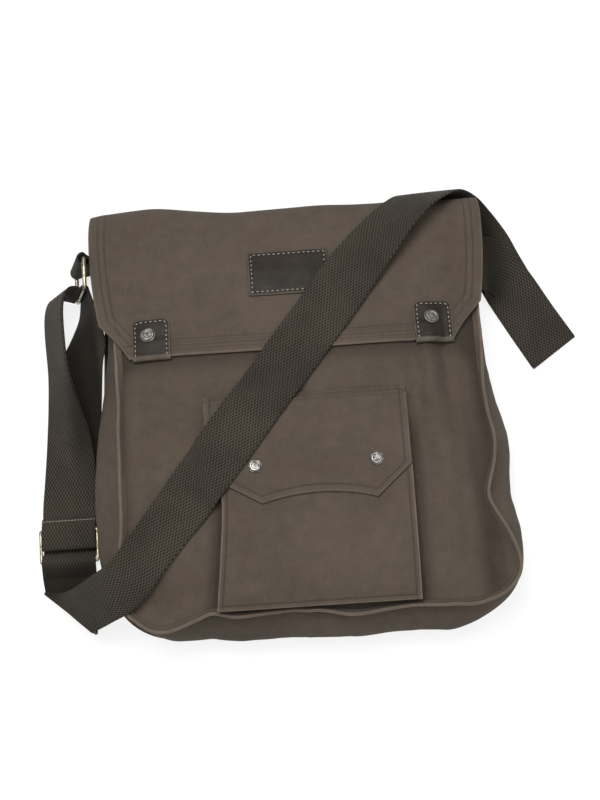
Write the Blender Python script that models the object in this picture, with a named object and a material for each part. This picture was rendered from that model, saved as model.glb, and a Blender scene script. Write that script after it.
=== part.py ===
"""A canvas shoulder bag lying on its back, flap shut, with its webbing strap laid across the front.

X runs to the bag's right as it lies, Y towards its mouth and Z up from the surface it lies on.
The origin is on that surface, under the middle of the back panel. Lengths are in metres.
Tables of seams, folds and dents hold shares of the sizes named in their comments.
"""
import math

import bpy
import numpy as np
from mathutils import Vector
from mathutils.bvhtree import BVHTree

# Body
BODY_WIDTH = 0.400         # over the gusset; places along X are shares of half of it
BODY_HEIGHT = 0.400        # of the body; places along Y are shares of half of it
FRONT_INSET = 0.030        # from the gusset's widest line in to the front panel's side seams
BACK_INSET = 0.019         # the same for the back panel
MOUTH_INSET = 0.010        # from the body's top line down to the mouth's edge
FRONT_RAISE = 0.0215       # from the body's bottom line up to the front panel's bottom seam
BACK_RAISE = 0.013         # the same for the back panel
FRONT_CORNER = 0.033       # radius of the front panel's lower corners
BACK_CORNER = 0.054
BACK_TAPER = 0.008         # narrowing of the back panel towards the mouth
DEPTH = 0.070              # height of the front seam above the surface, low on the bag
PUFF = 0.016               # rise of the front panel above its seam
CANVAS = 0.0018            # a wall of canvas
CLEAR = 0.0004             # between pieces that lie on each other
MOUTH_LIFT = 0.0055        # rise of the mouth's right corner over the strap under it
LIFT_TURN = math.radians(32)   # from X to the way in which the corner rises
LIFT_START = 0.94              # where it starts to rise, in shares of half of the body's width
LIFT_REACH = 0.13

HALF_SPAN = BODY_WIDTH / 2
HALF_RISE = BODY_HEIGHT / 2
FRONT_WIDTH = BODY_WIDTH - 2 * FRONT_INSET
BACK_WIDTH = BODY_WIDTH - 2 * BACK_INSET
MOUTH_Y = HALF_RISE - MOUTH_INSET
FRONT_BOTTOM_Y = FRONT_RAISE - HALF_RISE
BACK_BOTTOM_Y = BACK_RAISE - HALF_RISE

# Welts, the pinched seams that stand along both panels
WELT_WIDTH = 0.0072
WELT_THICK = 0.0026
WELT_SEAT = 0.0010         # from the seam to the welt's root

# Main flap
FLAP_INSET = 0.0115        # from the gusset's widest line in to the flap's side edges
FLAP_HALF = HALF_SPAN - FLAP_INSET
FLAP_ROLL = 0.0205         # how far the flap rolls out past the mouth
FLAP_DROP = 0.1280         # from the mouth's edge down to the flap's lower edge
FLAP_LOW_Y = MOUTH_Y - FLAP_DROP
FLAP_BOW = 0.0020          # how much higher the lower edge is at its ends
FLAP_TAPER = 0.018         # how far each side would come in at the lower edge but for its chamfer
FLAP_X = -0.0015           # middle of the flap
FLAP_CHAMFER_X = 0.037
FLAP_CHAMFER_Y = 0.034
FLAP_OVER_WELT = 0.0062
FLAP_DROOP = 0.0070

# Front pocket
POCKET_X = 0.0070
POCKET_WIDTH = 0.186
# Lean of the left side: share of the height from the bottom, how far it lies in, metres
POCKET_LEAN = ((0.0, 0.003), (0.3, 0.010), (0.55, 0.013), (0.8, 0.006), (1.0, 0.0))
POCKET_HEIGHT = 0.1865
POCKET_RISE = 0.002        # of the pocket's foot over the front panel's bottom seam
POCKET_LOW_Y = FRONT_BOTTOM_Y + POCKET_RISE
POCKET_TOP_Y = POCKET_LOW_Y + POCKET_HEIGHT
POCKET_PROUD = 0.0125
POCKET_MOUTH_PROUD = 0.0045
POCKET_INSET = 0.0050
POCKET_UNDERCUT = 0.0080
POCKET_FLAP_RAISE = 0.009  # from the pocket's mouth up to the seam of its flap
POCKET_FLAP_WIDTH = 0.184
POCKET_FLAP_DROP = 0.102   # from that seam down to the flap's points
POCKET_FLAP_SIDE = 0.0735  # and down to the ends of its straight sides
POCKET_FLAP_FEEL = 0.006   # how far around a place the flap feels for what it lies on
POCKET_FLAP_TOP_Y = POCKET_TOP_Y + POCKET_FLAP_RAISE
POCKET_FLAP_TIP_Y = POCKET_FLAP_TOP_Y - POCKET_FLAP_DROP
POCKET_FLAP_SIDE_Y = POCKET_FLAP_TOP_Y - POCKET_FLAP_SIDE
POCKET_FLAP_ARCH = 0.0078

# Leather and studs
LEATHER = 0.0016
TAB_WIDTH = 0.0355
TAB_RISE = 0.0385          # of a tab's top over the flap's lower edge
TAB_TOP_Y = FLAP_LOW_Y + TAB_RISE
TAB_INSET = 0.057          # of a tab's middle from the flap's side edge
TAB_X = FLAP_HALF - TAB_INSET
TAB_CORNER = 0.0070
TAB_LIP = 0.0030
LABEL_WIDTH = 0.0750
LABEL_HEIGHT = 0.0440
LABEL_DROP = 0.0515        # of the label's middle below the mouth
LABEL_Y = MOUTH_Y - LABEL_DROP
STUD_DIAMETER = 0.0142
STUD_HEIGHT = 0.0034
STUD_RISE = 0.0215         # of a stud's middle over the flap's lower edge
STUD_Y = FLAP_LOW_Y + STUD_RISE
STUD_SHIFT = -0.0020       # from a tab's middle to its stud
POCKET_STUD_DIAMETER = 0.0122
POCKET_STUD_X = 0.0545
POCKET_STUD_MIDDLE_X = 0.0135
POCKET_STUD_DROP = 0.068   # of a stud's middle below the seam of the pocket's flap
POCKET_STUD_Y = POCKET_FLAP_TOP_Y - POCKET_STUD_DROP

# Webbing and its fittings
STRAP_WIDTH = 0.0500
STRAP_THICK = 0.0020
STRAP_CLEAR = 0.0009       # from the strap to the bag that it lies on
RING_SHORT = 0.0340
RING_WIRE = 0.0040
RING_PLAY = 0.0010         # room beside the webbing in a ring or slider
LOOP_SLACK = 0.0022
LOOP_CLEAR = 0.0020        # from a loop's sewn end to the gusset's face, which slopes there
LOOP_SEAT_Z = 0.0180       # height of the left loop's middle where it is sewn to the gusset
LOOP_SEAT_SPAN = 0.0220    # height of its gathered width there
SLIDER_LENGTH = 0.0330
SLIDER_BAR = 0.0026
SLIDER_THICK = 0.0024
STRAP_WRAP_REACH = 0.0305  # from the start of the roll to the strap's outermost line
STRAP_WRAP_GIRTH = 0.0850  # webbing used in going round the mouth's edge
STRAP_WRAP_START = 0.0050  # from the mouth's edge down to where the strap starts to turn round it
STRAP_WRAP_Y = MOUTH_Y - STRAP_WRAP_START

COLUMNS = 18
ROWS = 14
GUSSET_LEVELS = 6
STRAP_LANES = 3
STRAP_STATION = 0.0105     # between the strap's rungs over the front

# Height of the front seam: share of the way up the bag, share of DEPTH
SEAM_HEIGHTS = ((0.0, 0.97), (0.18, 1.0), (0.42, 0.96), (0.62, 0.83), (0.82, 0.65), (1.0, 0.50))

# Rise of the front panel: share of the way up, share of PUFF
PUFF_SHARES = ((0.0, 0.10), (0.06, 0.55), (0.16, 0.85), (0.35, 1.0), (0.65, 0.95), (0.85, 0.75), (1.0, 0.55))

# Waves of the front seam: x and y as shares of HALF_SPAN and HALF_RISE, outward and downward as
# shares of DEPTH, reach as a share of HALF_SPAN
SEAM_WAVES = (
    (-0.85, 0.30, -0.14, 0.00, 0.55),
    (-0.85, -0.45, -0.11, 0.00, 0.35),
    (0.85, -0.20, 0.08, 0.00, 0.16),
    (0.85, -0.42, -0.10, 0.00, 0.12),
    (0.88, -0.74, 0.26, 0.14, 0.20),
    (0.93, -0.95, 0.24, 0.00, 0.13),
    (0.72, -0.92, -0.08, 0.00, 0.09),
    (-0.84, -0.86, 0.05, 0.22, 0.22),
    (0.46, -0.92, -0.03, 0.00, 0.15),
    (0.22, -0.92, 0.05, 0.00, 0.12),
    (-0.10, -0.92, -0.07, 0.00, 0.20),
    (-0.44, -0.92, -0.09, 0.00, 0.08),
    (-0.66, -0.92, 0.10, 0.03, 0.10),
)

# Folds of the front: x, y of the middle, angle from X in degrees, half length, half width, height;
# lengths as shares of HALF_SPAN, height as a share of PUFF
FRONT_FOLDS = (
    (0.62, 0.16, 93.0, 0.26, 0.035, 0.22),
    (0.70, 0.10, 96.0, 0.30, 0.045, -0.20),
    (0.55, 0.12, 88.0, 0.20, 0.040, -0.13),
    (0.66, -0.50, 78.0, 0.34, 0.070, 0.20),
    (-0.72, -0.10, 91.0, 0.60, 0.055, -0.16),
    (-0.64, -0.62, 40.0, 0.16, 0.070, 0.26),
    (-0.58, -0.80, 12.0, 0.20, 0.045, -0.18),
    (0.74, -0.82, -38.0, 0.14, 0.050, 0.22),
    (-0.30, 0.62, 4.0, 0.50, 0.090, 0.12),
    (0.20, 0.86, -3.0, 0.40, 0.055, 0.14),
    (-0.66, 0.72, 82.0, 0.22, 0.070, 0.12),
)

# Bulge of the gusset: y as a share of HALF_RISE, left and right outward as shares of DEPTH
SIDE_BULGE = (
    (-1.00, 0.27, 0.14), (-0.70, 0.34, 0.24), (-0.50, 0.33, 0.30), (-0.25, 0.30, 0.26),
    (0.05, 0.22, 0.16), (0.30, 0.14, 0.08), (0.55, 0.11, 0.00), (0.95, 0.10, 0.00),
)
BOTTOM_BULGE = 0.27

# Inward tuck of the gusset's right side by the mouth: y share of HALF_RISE, inward share of DEPTH
TUCK = ((0.28, 0.0), (0.42, 0.26), (0.55, 0.62), (0.88, 0.62), (0.95, 0.55))

# Dents of the gusset: x and y shares, outward as a share of DEPTH, reach as a share of HALF_SPAN
GUSSET_DENTS = (
    (-1.00, 0.92, 0.24, 0.07),
    (-1.00, 0.10, -0.04, 0.10),
    (-1.00, -0.22, 0.03, 0.14),
    (-0.85, -0.92, -0.25, 0.24),
    (-0.42, -1.00, -0.02, 0.12),
    (0.05, -1.00, 0.04, 0.16),
    (0.38, -1.00, 0.03, 0.12),
    (0.64, -1.00, 0.06, 0.16),
    (0.88, -0.95, -0.06, 0.20),
    (0.98, 0.12, -0.04, 0.09),
    (1.00, -0.12, 0.03, 0.09),
    (1.00, -0.34, -0.03, 0.09),
    (1.00, -0.62, 0.04, 0.14),
)

# Lean of the front welt above level, in degrees, by y as a share of HALF_RISE, left and right
WELT_LEAN = (
    (-1.0, 52.0, 58.0), (-0.75, 38.0, 48.0), (-0.4, 44.0, 66.0), (0.1, 62.0, 68.0),
    (0.26, 34.0, 46.0), (0.5, 12.0, 12.0), (1.0, 8.0, 8.0),
)

# Undulation of the flap's rolled top: x share of HALF_SPAN, outward share of FLAP_ROLL, reach
ROLL_WAVES = ((-0.90, 0.14, 0.30), (-0.64, 0.40, 0.26), (-0.35, -0.05, 0.25), (0.12, 0.08, 0.22), (0.38, -0.06, 0.14), (0.85, -0.12, 0.25))

# The strap's laid route. Each row is the middle of the webbing and how it is turned there.
# Left run, from the sewn end to the ring: x and y shares, height share of DEPTH, tilt in degrees
LEFT_OUT = (
    (-1.117, -0.375, 0.137, 0.0), (-1.119, -0.427, 0.172, 0.0), (-1.121, -0.505, 0.170, 0.0),
)
LEFT_UP = (
    (-1.121, -0.505, 0.088, 0.0), (-1.115, -0.400, 0.086, 0.0), (-1.109, -0.285, 0.105, 3.0),
    (-1.100, -0.113, 0.145, 16.0), (-1.101, 0.037, 0.235, 32.0), (-1.115, 0.174, 0.320, 49.0),
    (-1.130, 0.333, 0.360, 60.0), (-1.141, 0.530, 0.372, 61.0), (-1.136, 0.640, 0.375, 61.0),
    (-1.108, 0.698, 0.385, 61.0), (-1.058, 0.700, 0.410, 66.0),
)
LEFT_DOWN = (
    (-0.978, 0.600, 0.375, 65.0), (-0.984, 0.520, 0.315, 50.0), (-1.004, 0.435, 0.220, 32.0),
    (-1.041, 0.345, 0.135, 19.0), (-1.072, 0.125, 0.050, 4.0), (-1.100, -0.156, 0.024, 0.0),
    (-1.118, -0.330, 0.020, 0.0), (-1.121, -0.525, 0.022, 0.0), (-1.122, -0.545, 0.095, 0.0),
    (-1.123, -0.567, 0.168, 0.0), (-1.124, -0.586, 0.174, 0.0), (-1.126, -0.614, 0.115, 0.0),
    (-1.129, -0.652, 0.022, 0.0),
)
LEFT_CREASE = (-1.128, -0.818, -41.0, 1.25)

# Front run, over the bag and round the mouth: x share, travel up the front and on round the mouth
# as a share of HALF_RISE, turn of the width from X in degrees, width seen from above and rise of
# the right edge as shares of STRAP_WIDTH
FRONT_RUN = (
    (-1.030, -0.810, -41.0, 1.05, 0.0), (-0.910, -0.762, -45.0, 1.00, 0.0),
    (-0.808, -0.700, -44.0, 0.90, 0.0), (-0.728, -0.608, -40.0, 0.88, 0.0),
    (-0.615, -0.478, -39.0, 0.92, 0.0), (-0.375, -0.190, -36.5, 0.98, 0.0),
    (-0.088, 0.175, -37.0, 0.98, 0.0), (0.165, 0.497, -37.0, 1.00, 0.0),
    (0.305, 0.682, -36.0, 0.99, 0.05), (0.450, 0.853, -35.0, 0.88, 0.25),
    (0.525, 0.930, -32.0, 0.80, 0.40), (0.600, 1.000, -31.0, 0.80, 0.42),
    (0.690, 1.088, -34.0, 0.90, 0.30), (0.795, 1.215, -37.0, 1.00, 0.10),
    (0.882, 1.310, -38.0, 1.00, 0.0), (0.972, 1.430, -35.0, 1.00, 0.0),
    (1.030, 1.560, -32.0, 1.00, 0.0), (1.076, 1.660, -30.6, 1.00, 0.0),
)

# Right run, from under the corner to the crease, and back up to the ring: x and y shares, height
# share of DEPTH, turn in degrees, width share
RIGHT_OUT = ((1.165, 0.450, 0.020, 31.0, 1.00),)
RIGHT_CREASE = (1.258, 0.288, 34.5, 1.02)
RIGHT_BACK = (
    (1.165, 0.450, 0.062, 31.0, 1.00), (1.083, 0.592, 0.100, 31.0, 1.00),
    (1.030, 0.668, 0.195, 52.0, 1.02), (0.985, 0.708, 0.310, 70.0, 1.04),
    (0.938, 0.720, 0.415, 84.0, 1.01),
)
RIGHT_END = ((0.932, 0.722, 0.330, 90.0, 1.0), (0.972, 0.712, 0.240, 86.0, 1.0), (1.012, 0.698, 0.150, 82.0, 1.0))

# Rings: middle x and y shares, height share of DEPTH, tilt of the long side from level, degrees
LEFT_RING = (-1.001, 0.758, 0.430, 74.0)
RIGHT_RING = (0.843, 0.7225, 0.290, 90.0)

WEBBING_LAYER = STRAP_THICK + 0.0006


def clear_scene():
    """Remove every object that the scene holds."""
    for thing in list(bpy.data.objects):
        bpy.data.objects.remove(thing, do_unlink=True)


def table(rows, place, column=1):
    """Read a column of a table at a place, along a smooth line through its rows."""
    places = [row[0] for row in rows]
    if place <= places[0]:
        return rows[0][column]
    if place >= places[-1]:
        return rows[-1][column]
    after = next(k for k, p in enumerate(places) if p > place)
    before = after - 1
    span = places[after] - places[before]
    share = (place - places[before]) / span
    start, end = rows[before][column], rows[after][column]
    slopes = []
    for k in (before, after):
        low, high = max(k - 1, 0), min(k + 1, len(rows) - 1)
        slopes.append((rows[high][column] - rows[low][column]) / (places[high] - places[low]) * span)
    bend = share * share * (3 - 2 * share)
    return (
        start + (end - start) * bend
        + slopes[0] * (share ** 3 - 2 * share ** 2 + share) + slopes[1] * (share ** 3 - share ** 2)
    )


def smooth_step(value):
    value = min(max(value, 0.0), 1.0)
    return value * value * (3 - 2 * value)


def way_up(y):
    return min(max((y - FRONT_BOTTOM_Y) / (MOUTH_Y - FRONT_BOTTOM_Y), 0.0), 1.0)


def bump(x, y, row, reach):
    """One row's soft bump at (x, y), from 0 to 1."""
    away = math.hypot(x - row[0] * HALF_SPAN, y - row[1] * HALF_RISE)
    return math.exp(-((away / (reach * HALF_SPAN)) ** 2))


def seam_wave(x, y, column):
    return sum(row[column] * DEPTH * bump(x, y, row, row[4]) for row in SEAM_WAVES)


def seam_height(x, y):
    return table(SEAM_HEIGHTS, way_up(y)) * DEPTH - seam_wave(x, y, 3)


def front_folds(x, y):
    total = 0.0
    for middle_x, middle_y, angle, half_length, half_width, height in FRONT_FOLDS:
        dx = x - middle_x * HALF_SPAN
        dy = y - middle_y * HALF_RISE
        turn = math.radians(angle)
        along = dx * math.cos(turn) + dy * math.sin(turn)
        across = -dx * math.sin(turn) + dy * math.cos(turn)
        fade = (along / (half_length * HALF_SPAN)) ** 2 + (across / (half_width * HALF_SPAN)) ** 2
        total += height * PUFF * math.exp(-fade)
    return total


def puff(x, y):
    side = min(abs(x) / (FRONT_WIDTH / 2), 1.0)
    dome = (1 - side ** 5) * (0.86 + 0.14 * (1 - side ** 2))
    return PUFF * dome * table(PUFF_SHARES, way_up(y))


def front_height(x, y):
    """Height of the front panel's outer face."""
    return seam_height(x, y) + puff(x, y) + front_folds(x, y)


def flap_height(x, y):
    """Height of the flap's outer face, over the panel, over the welts and drooping past them."""
    edge = FRONT_WIDTH / 2
    past = max(0.0, (abs(x) - edge - 0.004) / (FLAP_HALF - edge))
    held_up = FLAP_OVER_WELT * smooth_step((abs(x) / edge - 0.55) / 0.45)
    body = (puff(x, y) ** 3 + held_up ** 3) ** (1 / 3)
    top = seam_height(x, y) + body + front_folds(x, y) - FLAP_DROOP * past ** 2
    return top + CLEAR * 2 + CANVAS


def pocket_share(y):
    return min(max((y - POCKET_LOW_Y) / (POCKET_TOP_Y - POCKET_LOW_Y), 0.0), 1.0)


def pocket_x(place, y):
    """Where a place across the pocket lies: the left side leans in above its lower corner."""
    share = max(0.0, -place / (POCKET_WIDTH / 2))
    return POCKET_X + place + table(POCKET_LEAN, pocket_share(y)) * share


def pocket_height(x, y):
    """Height of the pocket's outer face."""
    proud = POCKET_PROUD + (POCKET_MOUTH_PROUD - POCKET_PROUD) * pocket_share(y)
    return front_height(x, y) + proud


def lift(x, y):
    """Rise of the mouth's right corner, which lies on the strap."""
    along = math.cos(LIFT_TURN) * x + math.sin(LIFT_TURN) * y
    return MOUTH_LIFT * smooth_step((along - LIFT_START * HALF_SPAN) / (LIFT_REACH * HALF_SPAN))


def raised(point):
    return Vector((point.x, point.y, point.z + lift(point.x, point.y)))


def new_object(name, points, faces, finish):
    """Make a closed mesh object in place, with its faces turned outward and its soft edges smooth."""
    volume = 0.0
    for face in faces:
        first = points[face[0]]
        for k in range(1, len(face) - 1):
            volume += first.dot(points[face[k]].cross(points[face[k + 1]]))
    if volume < 0:
        faces = [tuple(reversed(face)) for face in faces]
    mesh = bpy.data.meshes.new(name)
    mesh.from_pydata([tuple(p) for p in points], [], faces)
    mesh.update()
    mesh.shade_smooth()
    mesh.set_sharp_from_angle(angle=math.radians(50))
    mesh.materials.append(finish)
    thing = bpy.data.objects.new(name, mesh)
    bpy.context.scene.collection.objects.link(thing)
    return thing


def material(name, colour, roughness, metallic=0.0):
    made = bpy.data.materials.new(name)
    made.use_nodes = True
    shader = made.node_tree.nodes["Principled BSDF"]
    shader.inputs["Base Color"].default_value = (*colour, 1.0)
    shader.inputs["Roughness"].default_value = roughness
    shader.inputs["Metallic"].default_value = metallic
    return made


def grid_normals(grid):
    """Unit normals of a grid of points, pointing to the side that columns x rows face."""
    array = np.array([[tuple(p) for p in row] for row in grid])
    along = np.gradient(array, axis=1)
    up = np.gradient(array, axis=0)
    normals = np.cross(along, up)
    lengths = np.linalg.norm(normals, axis=2, keepdims=True)
    return array, normals / np.maximum(lengths, 1e-12)


def slab(name, grid, thickness, finish, outer_share=0.0, level_rims=False):
    """A closed sheet of the given thickness, whose outer face is the grid moved out by a share of it."""
    array, normals = grid_normals(grid)
    if level_rims:
        for row in (0, -1):
            normals[row, :, 2] = 0
            normals[row] /= np.linalg.norm(normals[row], axis=1, keepdims=True)
    outer = array + normals * thickness * outer_share
    inner = array - normals * thickness * (1 - outer_share)
    rows, columns = array.shape[:2]
    points = [Vector(p) for p in outer.reshape(-1, 3)] + [Vector(p) for p in inner.reshape(-1, 3)]
    back = rows * columns
    faces = []
    for i in range(rows - 1):
        for j in range(columns - 1):
            a = i * columns + j
            quad = (a, a + 1, a + columns + 1, a + columns)
            faces.append(quad)
            faces.append(tuple(reversed([back + k for k in quad])))
    rim = [j for j in range(columns)]
    rim += [i * columns + columns - 1 for i in range(1, rows)]
    rim += [(rows - 1) * columns + j for j in range(columns - 2, -1, -1)]
    rim += [i * columns for i in range(rows - 2, 0, -1)]
    for a, b in zip(rim, rim[1:] + rim[:1]):
        faces.append((b, a, back + a, back + b))
    return new_object(name, points, faces, finish)


def sweep(name, sections, finish, closed=False):
    """Join a row of equal rings of points into one closed body."""
    size = len(sections[0])
    points = [p for section in sections for p in section]
    faces = []
    count = len(sections)
    for k in range(count if closed else count - 1):
        here, there = k * size, ((k + 1) % count) * size
        for j in range(size):
            n = (j + 1) % size
            faces.append((here + j, here + n, there + n, there + j))
    if not closed:
        faces.append(tuple(reversed(range(size))))
        faces.append(tuple(range((count - 1) * size, count * size)))
    return new_object(name, points, faces, finish)


def column_places():
    """Places across a panel from -1 to 1, closer together in the rounded corners."""
    inner = COLUMNS - 6
    middle = [-0.72 + 1.44 * k / inner for k in range(inner + 1)]
    return [-1.0, -0.965, -0.87] + middle + [0.87, 0.965, 1.0]


def panel_grid(width, bottom, corner, waves, height):
    """Rows from the bottom seam up to the mouth, each of points from left to right."""
    grid = []
    half = width / 2
    for i in range(ROWS + 1):
        share = i / ROWS
        row = []
        for place in column_places():
            x = place * half
            into = max(0.0, abs(x) - (half - corner))
            low = bottom + corner - math.sqrt(max(corner ** 2 - into ** 2, 0.0))
            y = low + (MOUTH_Y - CLEAR - low) * share
            out_x = waves(x, y) * smooth_step((abs(place) - 0.6) / 0.4)
            out_y = waves(x, y) * (1 - share) ** 4 * smooth_step((1.02 - abs(place)) / 0.3)
            x += out_x if place > 0 else -out_x
            y -= out_y
            row.append(Vector((x, y, height(x, y))))
        grid.append(row)
    return grid


def u_loop(grid):
    """The panel's seam, from the mouth's left end round the bottom to its right end."""
    left = [row[0] for row in reversed(grid)]
    right = [row[-1] for row in grid]
    return left[:-1] + grid[0] + right[1:]


def outward(loop):
    """Level unit directions that point out of a U-shaped seam."""
    array = np.array([tuple(p) for p in loop])
    along = np.gradient(array, axis=0)
    out = np.stack([along[:, 1], -along[:, 0], np.zeros(len(loop))], axis=1)
    out /= np.linalg.norm(out, axis=1, keepdims=True)
    softened = out.copy()
    softened[1:-1] = (out[:-2] + 2 * out[1:-1] + out[2:]) / 4
    softened /= np.linalg.norm(softened, axis=1, keepdims=True)
    return [Vector(o) for o in softened]


def back_outline_wave(x, y):
    """The back panel narrows a little towards the mouth."""
    return -BACK_TAPER * smooth_step((y + MOUTH_Y / 4) / (MOUTH_Y * 1.25))


def gusset_columns(front_loop, back_loop):
    """Points of the gusset's outer face from the back seam to the front seam, for each station."""
    outs = outward(front_loop)
    columns = []
    for front, back, out in zip(front_loop, back_loop, outs):
        low = Vector((back.x, back.y, CANVAS + CLEAR))
        high = Vector((front.x, front.y, front.z - 1.35 * CANVAS - CLEAR))
        side = 2 if front.x > 0 else 1
        y_share = front.y / HALF_RISE
        sideways = abs(out.x) ** 1.5
        bulge = table(SIDE_BULGE, y_share, side) * sideways + BOTTOM_BULGE * (1 - sideways)
        for row in GUSSET_DENTS:
            bulge += row[2] * bump(front.x, front.y, row, row[3])
        tuck = table(TUCK, y_share) if front.x > 0 else 0.0
        column = []
        for k in range(GUSSET_LEVELS + 1):
            w = k / GUSSET_LEVELS
            swell = bulge * math.sin(math.pi * w) - tuck * math.sin(math.pi * w) ** 2
            column.append(low.lerp(high, w) + out * (swell * DEPTH))
        columns.append(column)
    return columns


def welt_section(root, out, lean, seat):
    """Six points round a pinched seam that stands from its root."""
    away = out * math.cos(lean) + Vector((0, 0, math.sin(lean)))
    over = Vector((0, 0, math.cos(lean))) - out * math.sin(lean)
    half = WELT_THICK / 2
    start = root + away * seat
    tip = start + away * WELT_WIDTH
    soft = half * 0.6
    return [
        start - over * half, tip - away * soft - over * half, tip - over * (half - soft),
        tip + over * (half - soft), tip - away * soft + over * half, start + over * half,
    ]


def flap_low_edge(x):
    """The flap's lower edge, cut off at both corners."""
    corner = max(0.0, (abs(x) - (FLAP_HALF - FLAP_CHAMFER_X)) / FLAP_CHAMFER_X)
    bow = FLAP_BOW * (x / FLAP_HALF) ** 2
    return FLAP_LOW_Y + bow + corner * FLAP_CHAMFER_Y


def flap_x(place, y):
    """Where a place across the flap lies: its sides come in below the mouth, toward the chamfers."""
    near = max(0.0, abs(place) * FLAP_HALF - FLAP_HALF + FLAP_CHAMFER_X) / FLAP_CHAMFER_X
    inward = FLAP_TAPER * max(0.0, (MOUTH_Y - y) / FLAP_DROP) ** 2 * near
    return FLAP_X + place * FLAP_HALF - math.copysign(inward, place)


def roll_reach(x):
    share = 1 + sum(row[1] * math.exp(-(((x / HALF_SPAN) - row[0]) / row[2]) ** 2) for row in ROLL_WAVES)
    return FLAP_ROLL * share


def grid_tree(*grids):
    """One search tree over the outer faces of some grids."""
    points, faces = [], []
    for grid in grids:
        columns = len(grid[0])
        start = len(points)
        points += [p for row in grid for p in row]
        for i in range(len(grid) - 1):
            for j in range(columns - 1):
                a = start + i * columns + j
                faces.append((a, a + 1, a + columns + 1, a + columns))
    return BVHTree.FromPolygons(points, faces)


def top_of(tree, x, y, reach):
    """The highest face under a small square round a place, or None where there is none."""
    found = []
    for dx in (-reach, 0, reach):
        for dy in (-reach, 0, reach):
            hit = tree.ray_cast(Vector((x + dx, y + dy, DEPTH * 5)), Vector((0, 0, -1)))[0]
            if hit:
                found.append(hit.z)
    return max(found) if found else None


def laid_on(tree, x, y, reach, thickness):
    """Height of the outer face of a sheet that lies on what is under it."""
    return top_of(tree, x, y, reach) + CLEAR + thickness


def flap_grid(panel):
    """Rows from the flap's lower edge up the front, over the roll and down to the back seam."""
    break_at = (FLAP_HALF - FLAP_CHAMFER_X) / FLAP_HALF
    half_columns = [0.0, 0.13, 0.27, 0.41, 0.55, 0.68, break_at, (1 + break_at) / 2 - 0.015, 0.955, 1.0]
    places = [-p for p in reversed(half_columns[1:])] + half_columns
    grid = []
    front_rows = 11
    for i in range(front_rows):
        row = []
        for place in places:
            low = flap_low_edge(place * FLAP_HALF)
            y = low + (MOUTH_Y - low) * i / (front_rows - 1)
            x = flap_x(place, y)
            below = top_of(panel, x, y, 0.006)
            lowest = below + 2 * CLEAR + CANVAS if below else 0.0
            row.append(Vector((x, y, max(flap_height(x, y), lowest))))
        grid.append(row)
    turn_rows = 7
    for i in range(1, turn_rows + 1):
        angle = math.pi * i / turn_rows
        row = []
        for place in places:
            x = flap_x(place, MOUTH_Y)
            top = grid[front_rows - 1][len(row)].z
            y = MOUTH_Y + roll_reach(x) * math.sin(angle) + 3 * CLEAR * i / turn_rows
            row.append(Vector((x * (1 - 0.02 * i / turn_rows), y, top * (1 + math.cos(angle)) / 2)))
        grid.append(row)
    return grid


def pocket_grid(panel):
    """Rows from the foot of the pocket's bottom wall up over its edge and to its mouth."""
    half = POCKET_WIDTH / 2

    def seat(x, y):
        return top_of(panel, x, y, 0.003) + 2 * CLEAR
    inner = [-0.94, -0.70, -0.45, -0.2, 0.05, 0.3, 0.55, 0.78, 0.94]
    rows = [POCKET_LOW_Y + (POCKET_TOP_Y - POCKET_LOW_Y) * s for s in (0.02, 0.16, 0.32, 0.48, 0.64, 0.82, 1.0)]

    def side(place, y, height):
        return Vector((pocket_x(place, y), y, height))

    def line(y_top, y_foot, wall_share):
        """One row across: the foot, the wall's middle, the edge and the face of the pocket."""
        points = []
        for sign in (-1, 1):
            edge = sign * half
            inset = sign * (half - POCKET_INSET)
            base = seat(pocket_x(inset, y_foot), y_foot)
            rim = pocket_height(pocket_x(edge, y_top), y_top) - CANVAS / 3
            rim = base + (rim - base) * wall_share
            middle = base + (rim - base) * 0.55
            bulged = sign * (half - POCKET_INSET * 0.15)
            wall = [side(inset, y_foot, base), side(bulged, (y_foot + y_top) / 2, middle), side(edge, y_top, rim)]
            points.append(wall)
        face = []
        for place in inner:
            x = pocket_x(place * half, y_foot + (y_top - y_foot) * wall_share)
            base = seat(x, y_foot)
            top = pocket_height(x, y_top)
            face.append(Vector((x, y_foot + (y_top - y_foot) * wall_share, base + (top - base) * wall_share)))
        return points[0] + face + list(reversed(points[1]))

    grid = []
    low_foot = POCKET_LOW_Y + POCKET_UNDERCUT
    grid.append(line(low_foot, low_foot, 0.04))
    middle = line(POCKET_LOW_Y + 0.001, low_foot, 0.55)
    grid.append(middle)
    grid.append(line(POCKET_LOW_Y, low_foot, 0.93))
    for y in rows:
        grid.append(line(y, max(y, low_foot + 0.002), 1.0))
    return grid


def pocket_flap_low_edge(x):
    """Two points with an arch between them and slanted corners outside them."""
    place = x - POCKET_X
    half = POCKET_FLAP_WIDTH / 2
    left_tip, right_tip = -0.47 * half, 0.65 * half
    if place < left_tip:
        share = (left_tip - place) / (half + left_tip)
        return POCKET_FLAP_TIP_Y + (POCKET_FLAP_SIDE_Y - POCKET_FLAP_TIP_Y) * share
    if place > right_tip:
        share = (place - right_tip) / (half - right_tip)
        return POCKET_FLAP_TIP_Y + (POCKET_FLAP_SIDE_Y - POCKET_FLAP_TIP_Y) * share
    share = (place - left_tip) / (right_tip - left_tip)
    return POCKET_FLAP_TIP_Y + POCKET_FLAP_ARCH * math.sin(math.pi * share) ** 0.8


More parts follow.
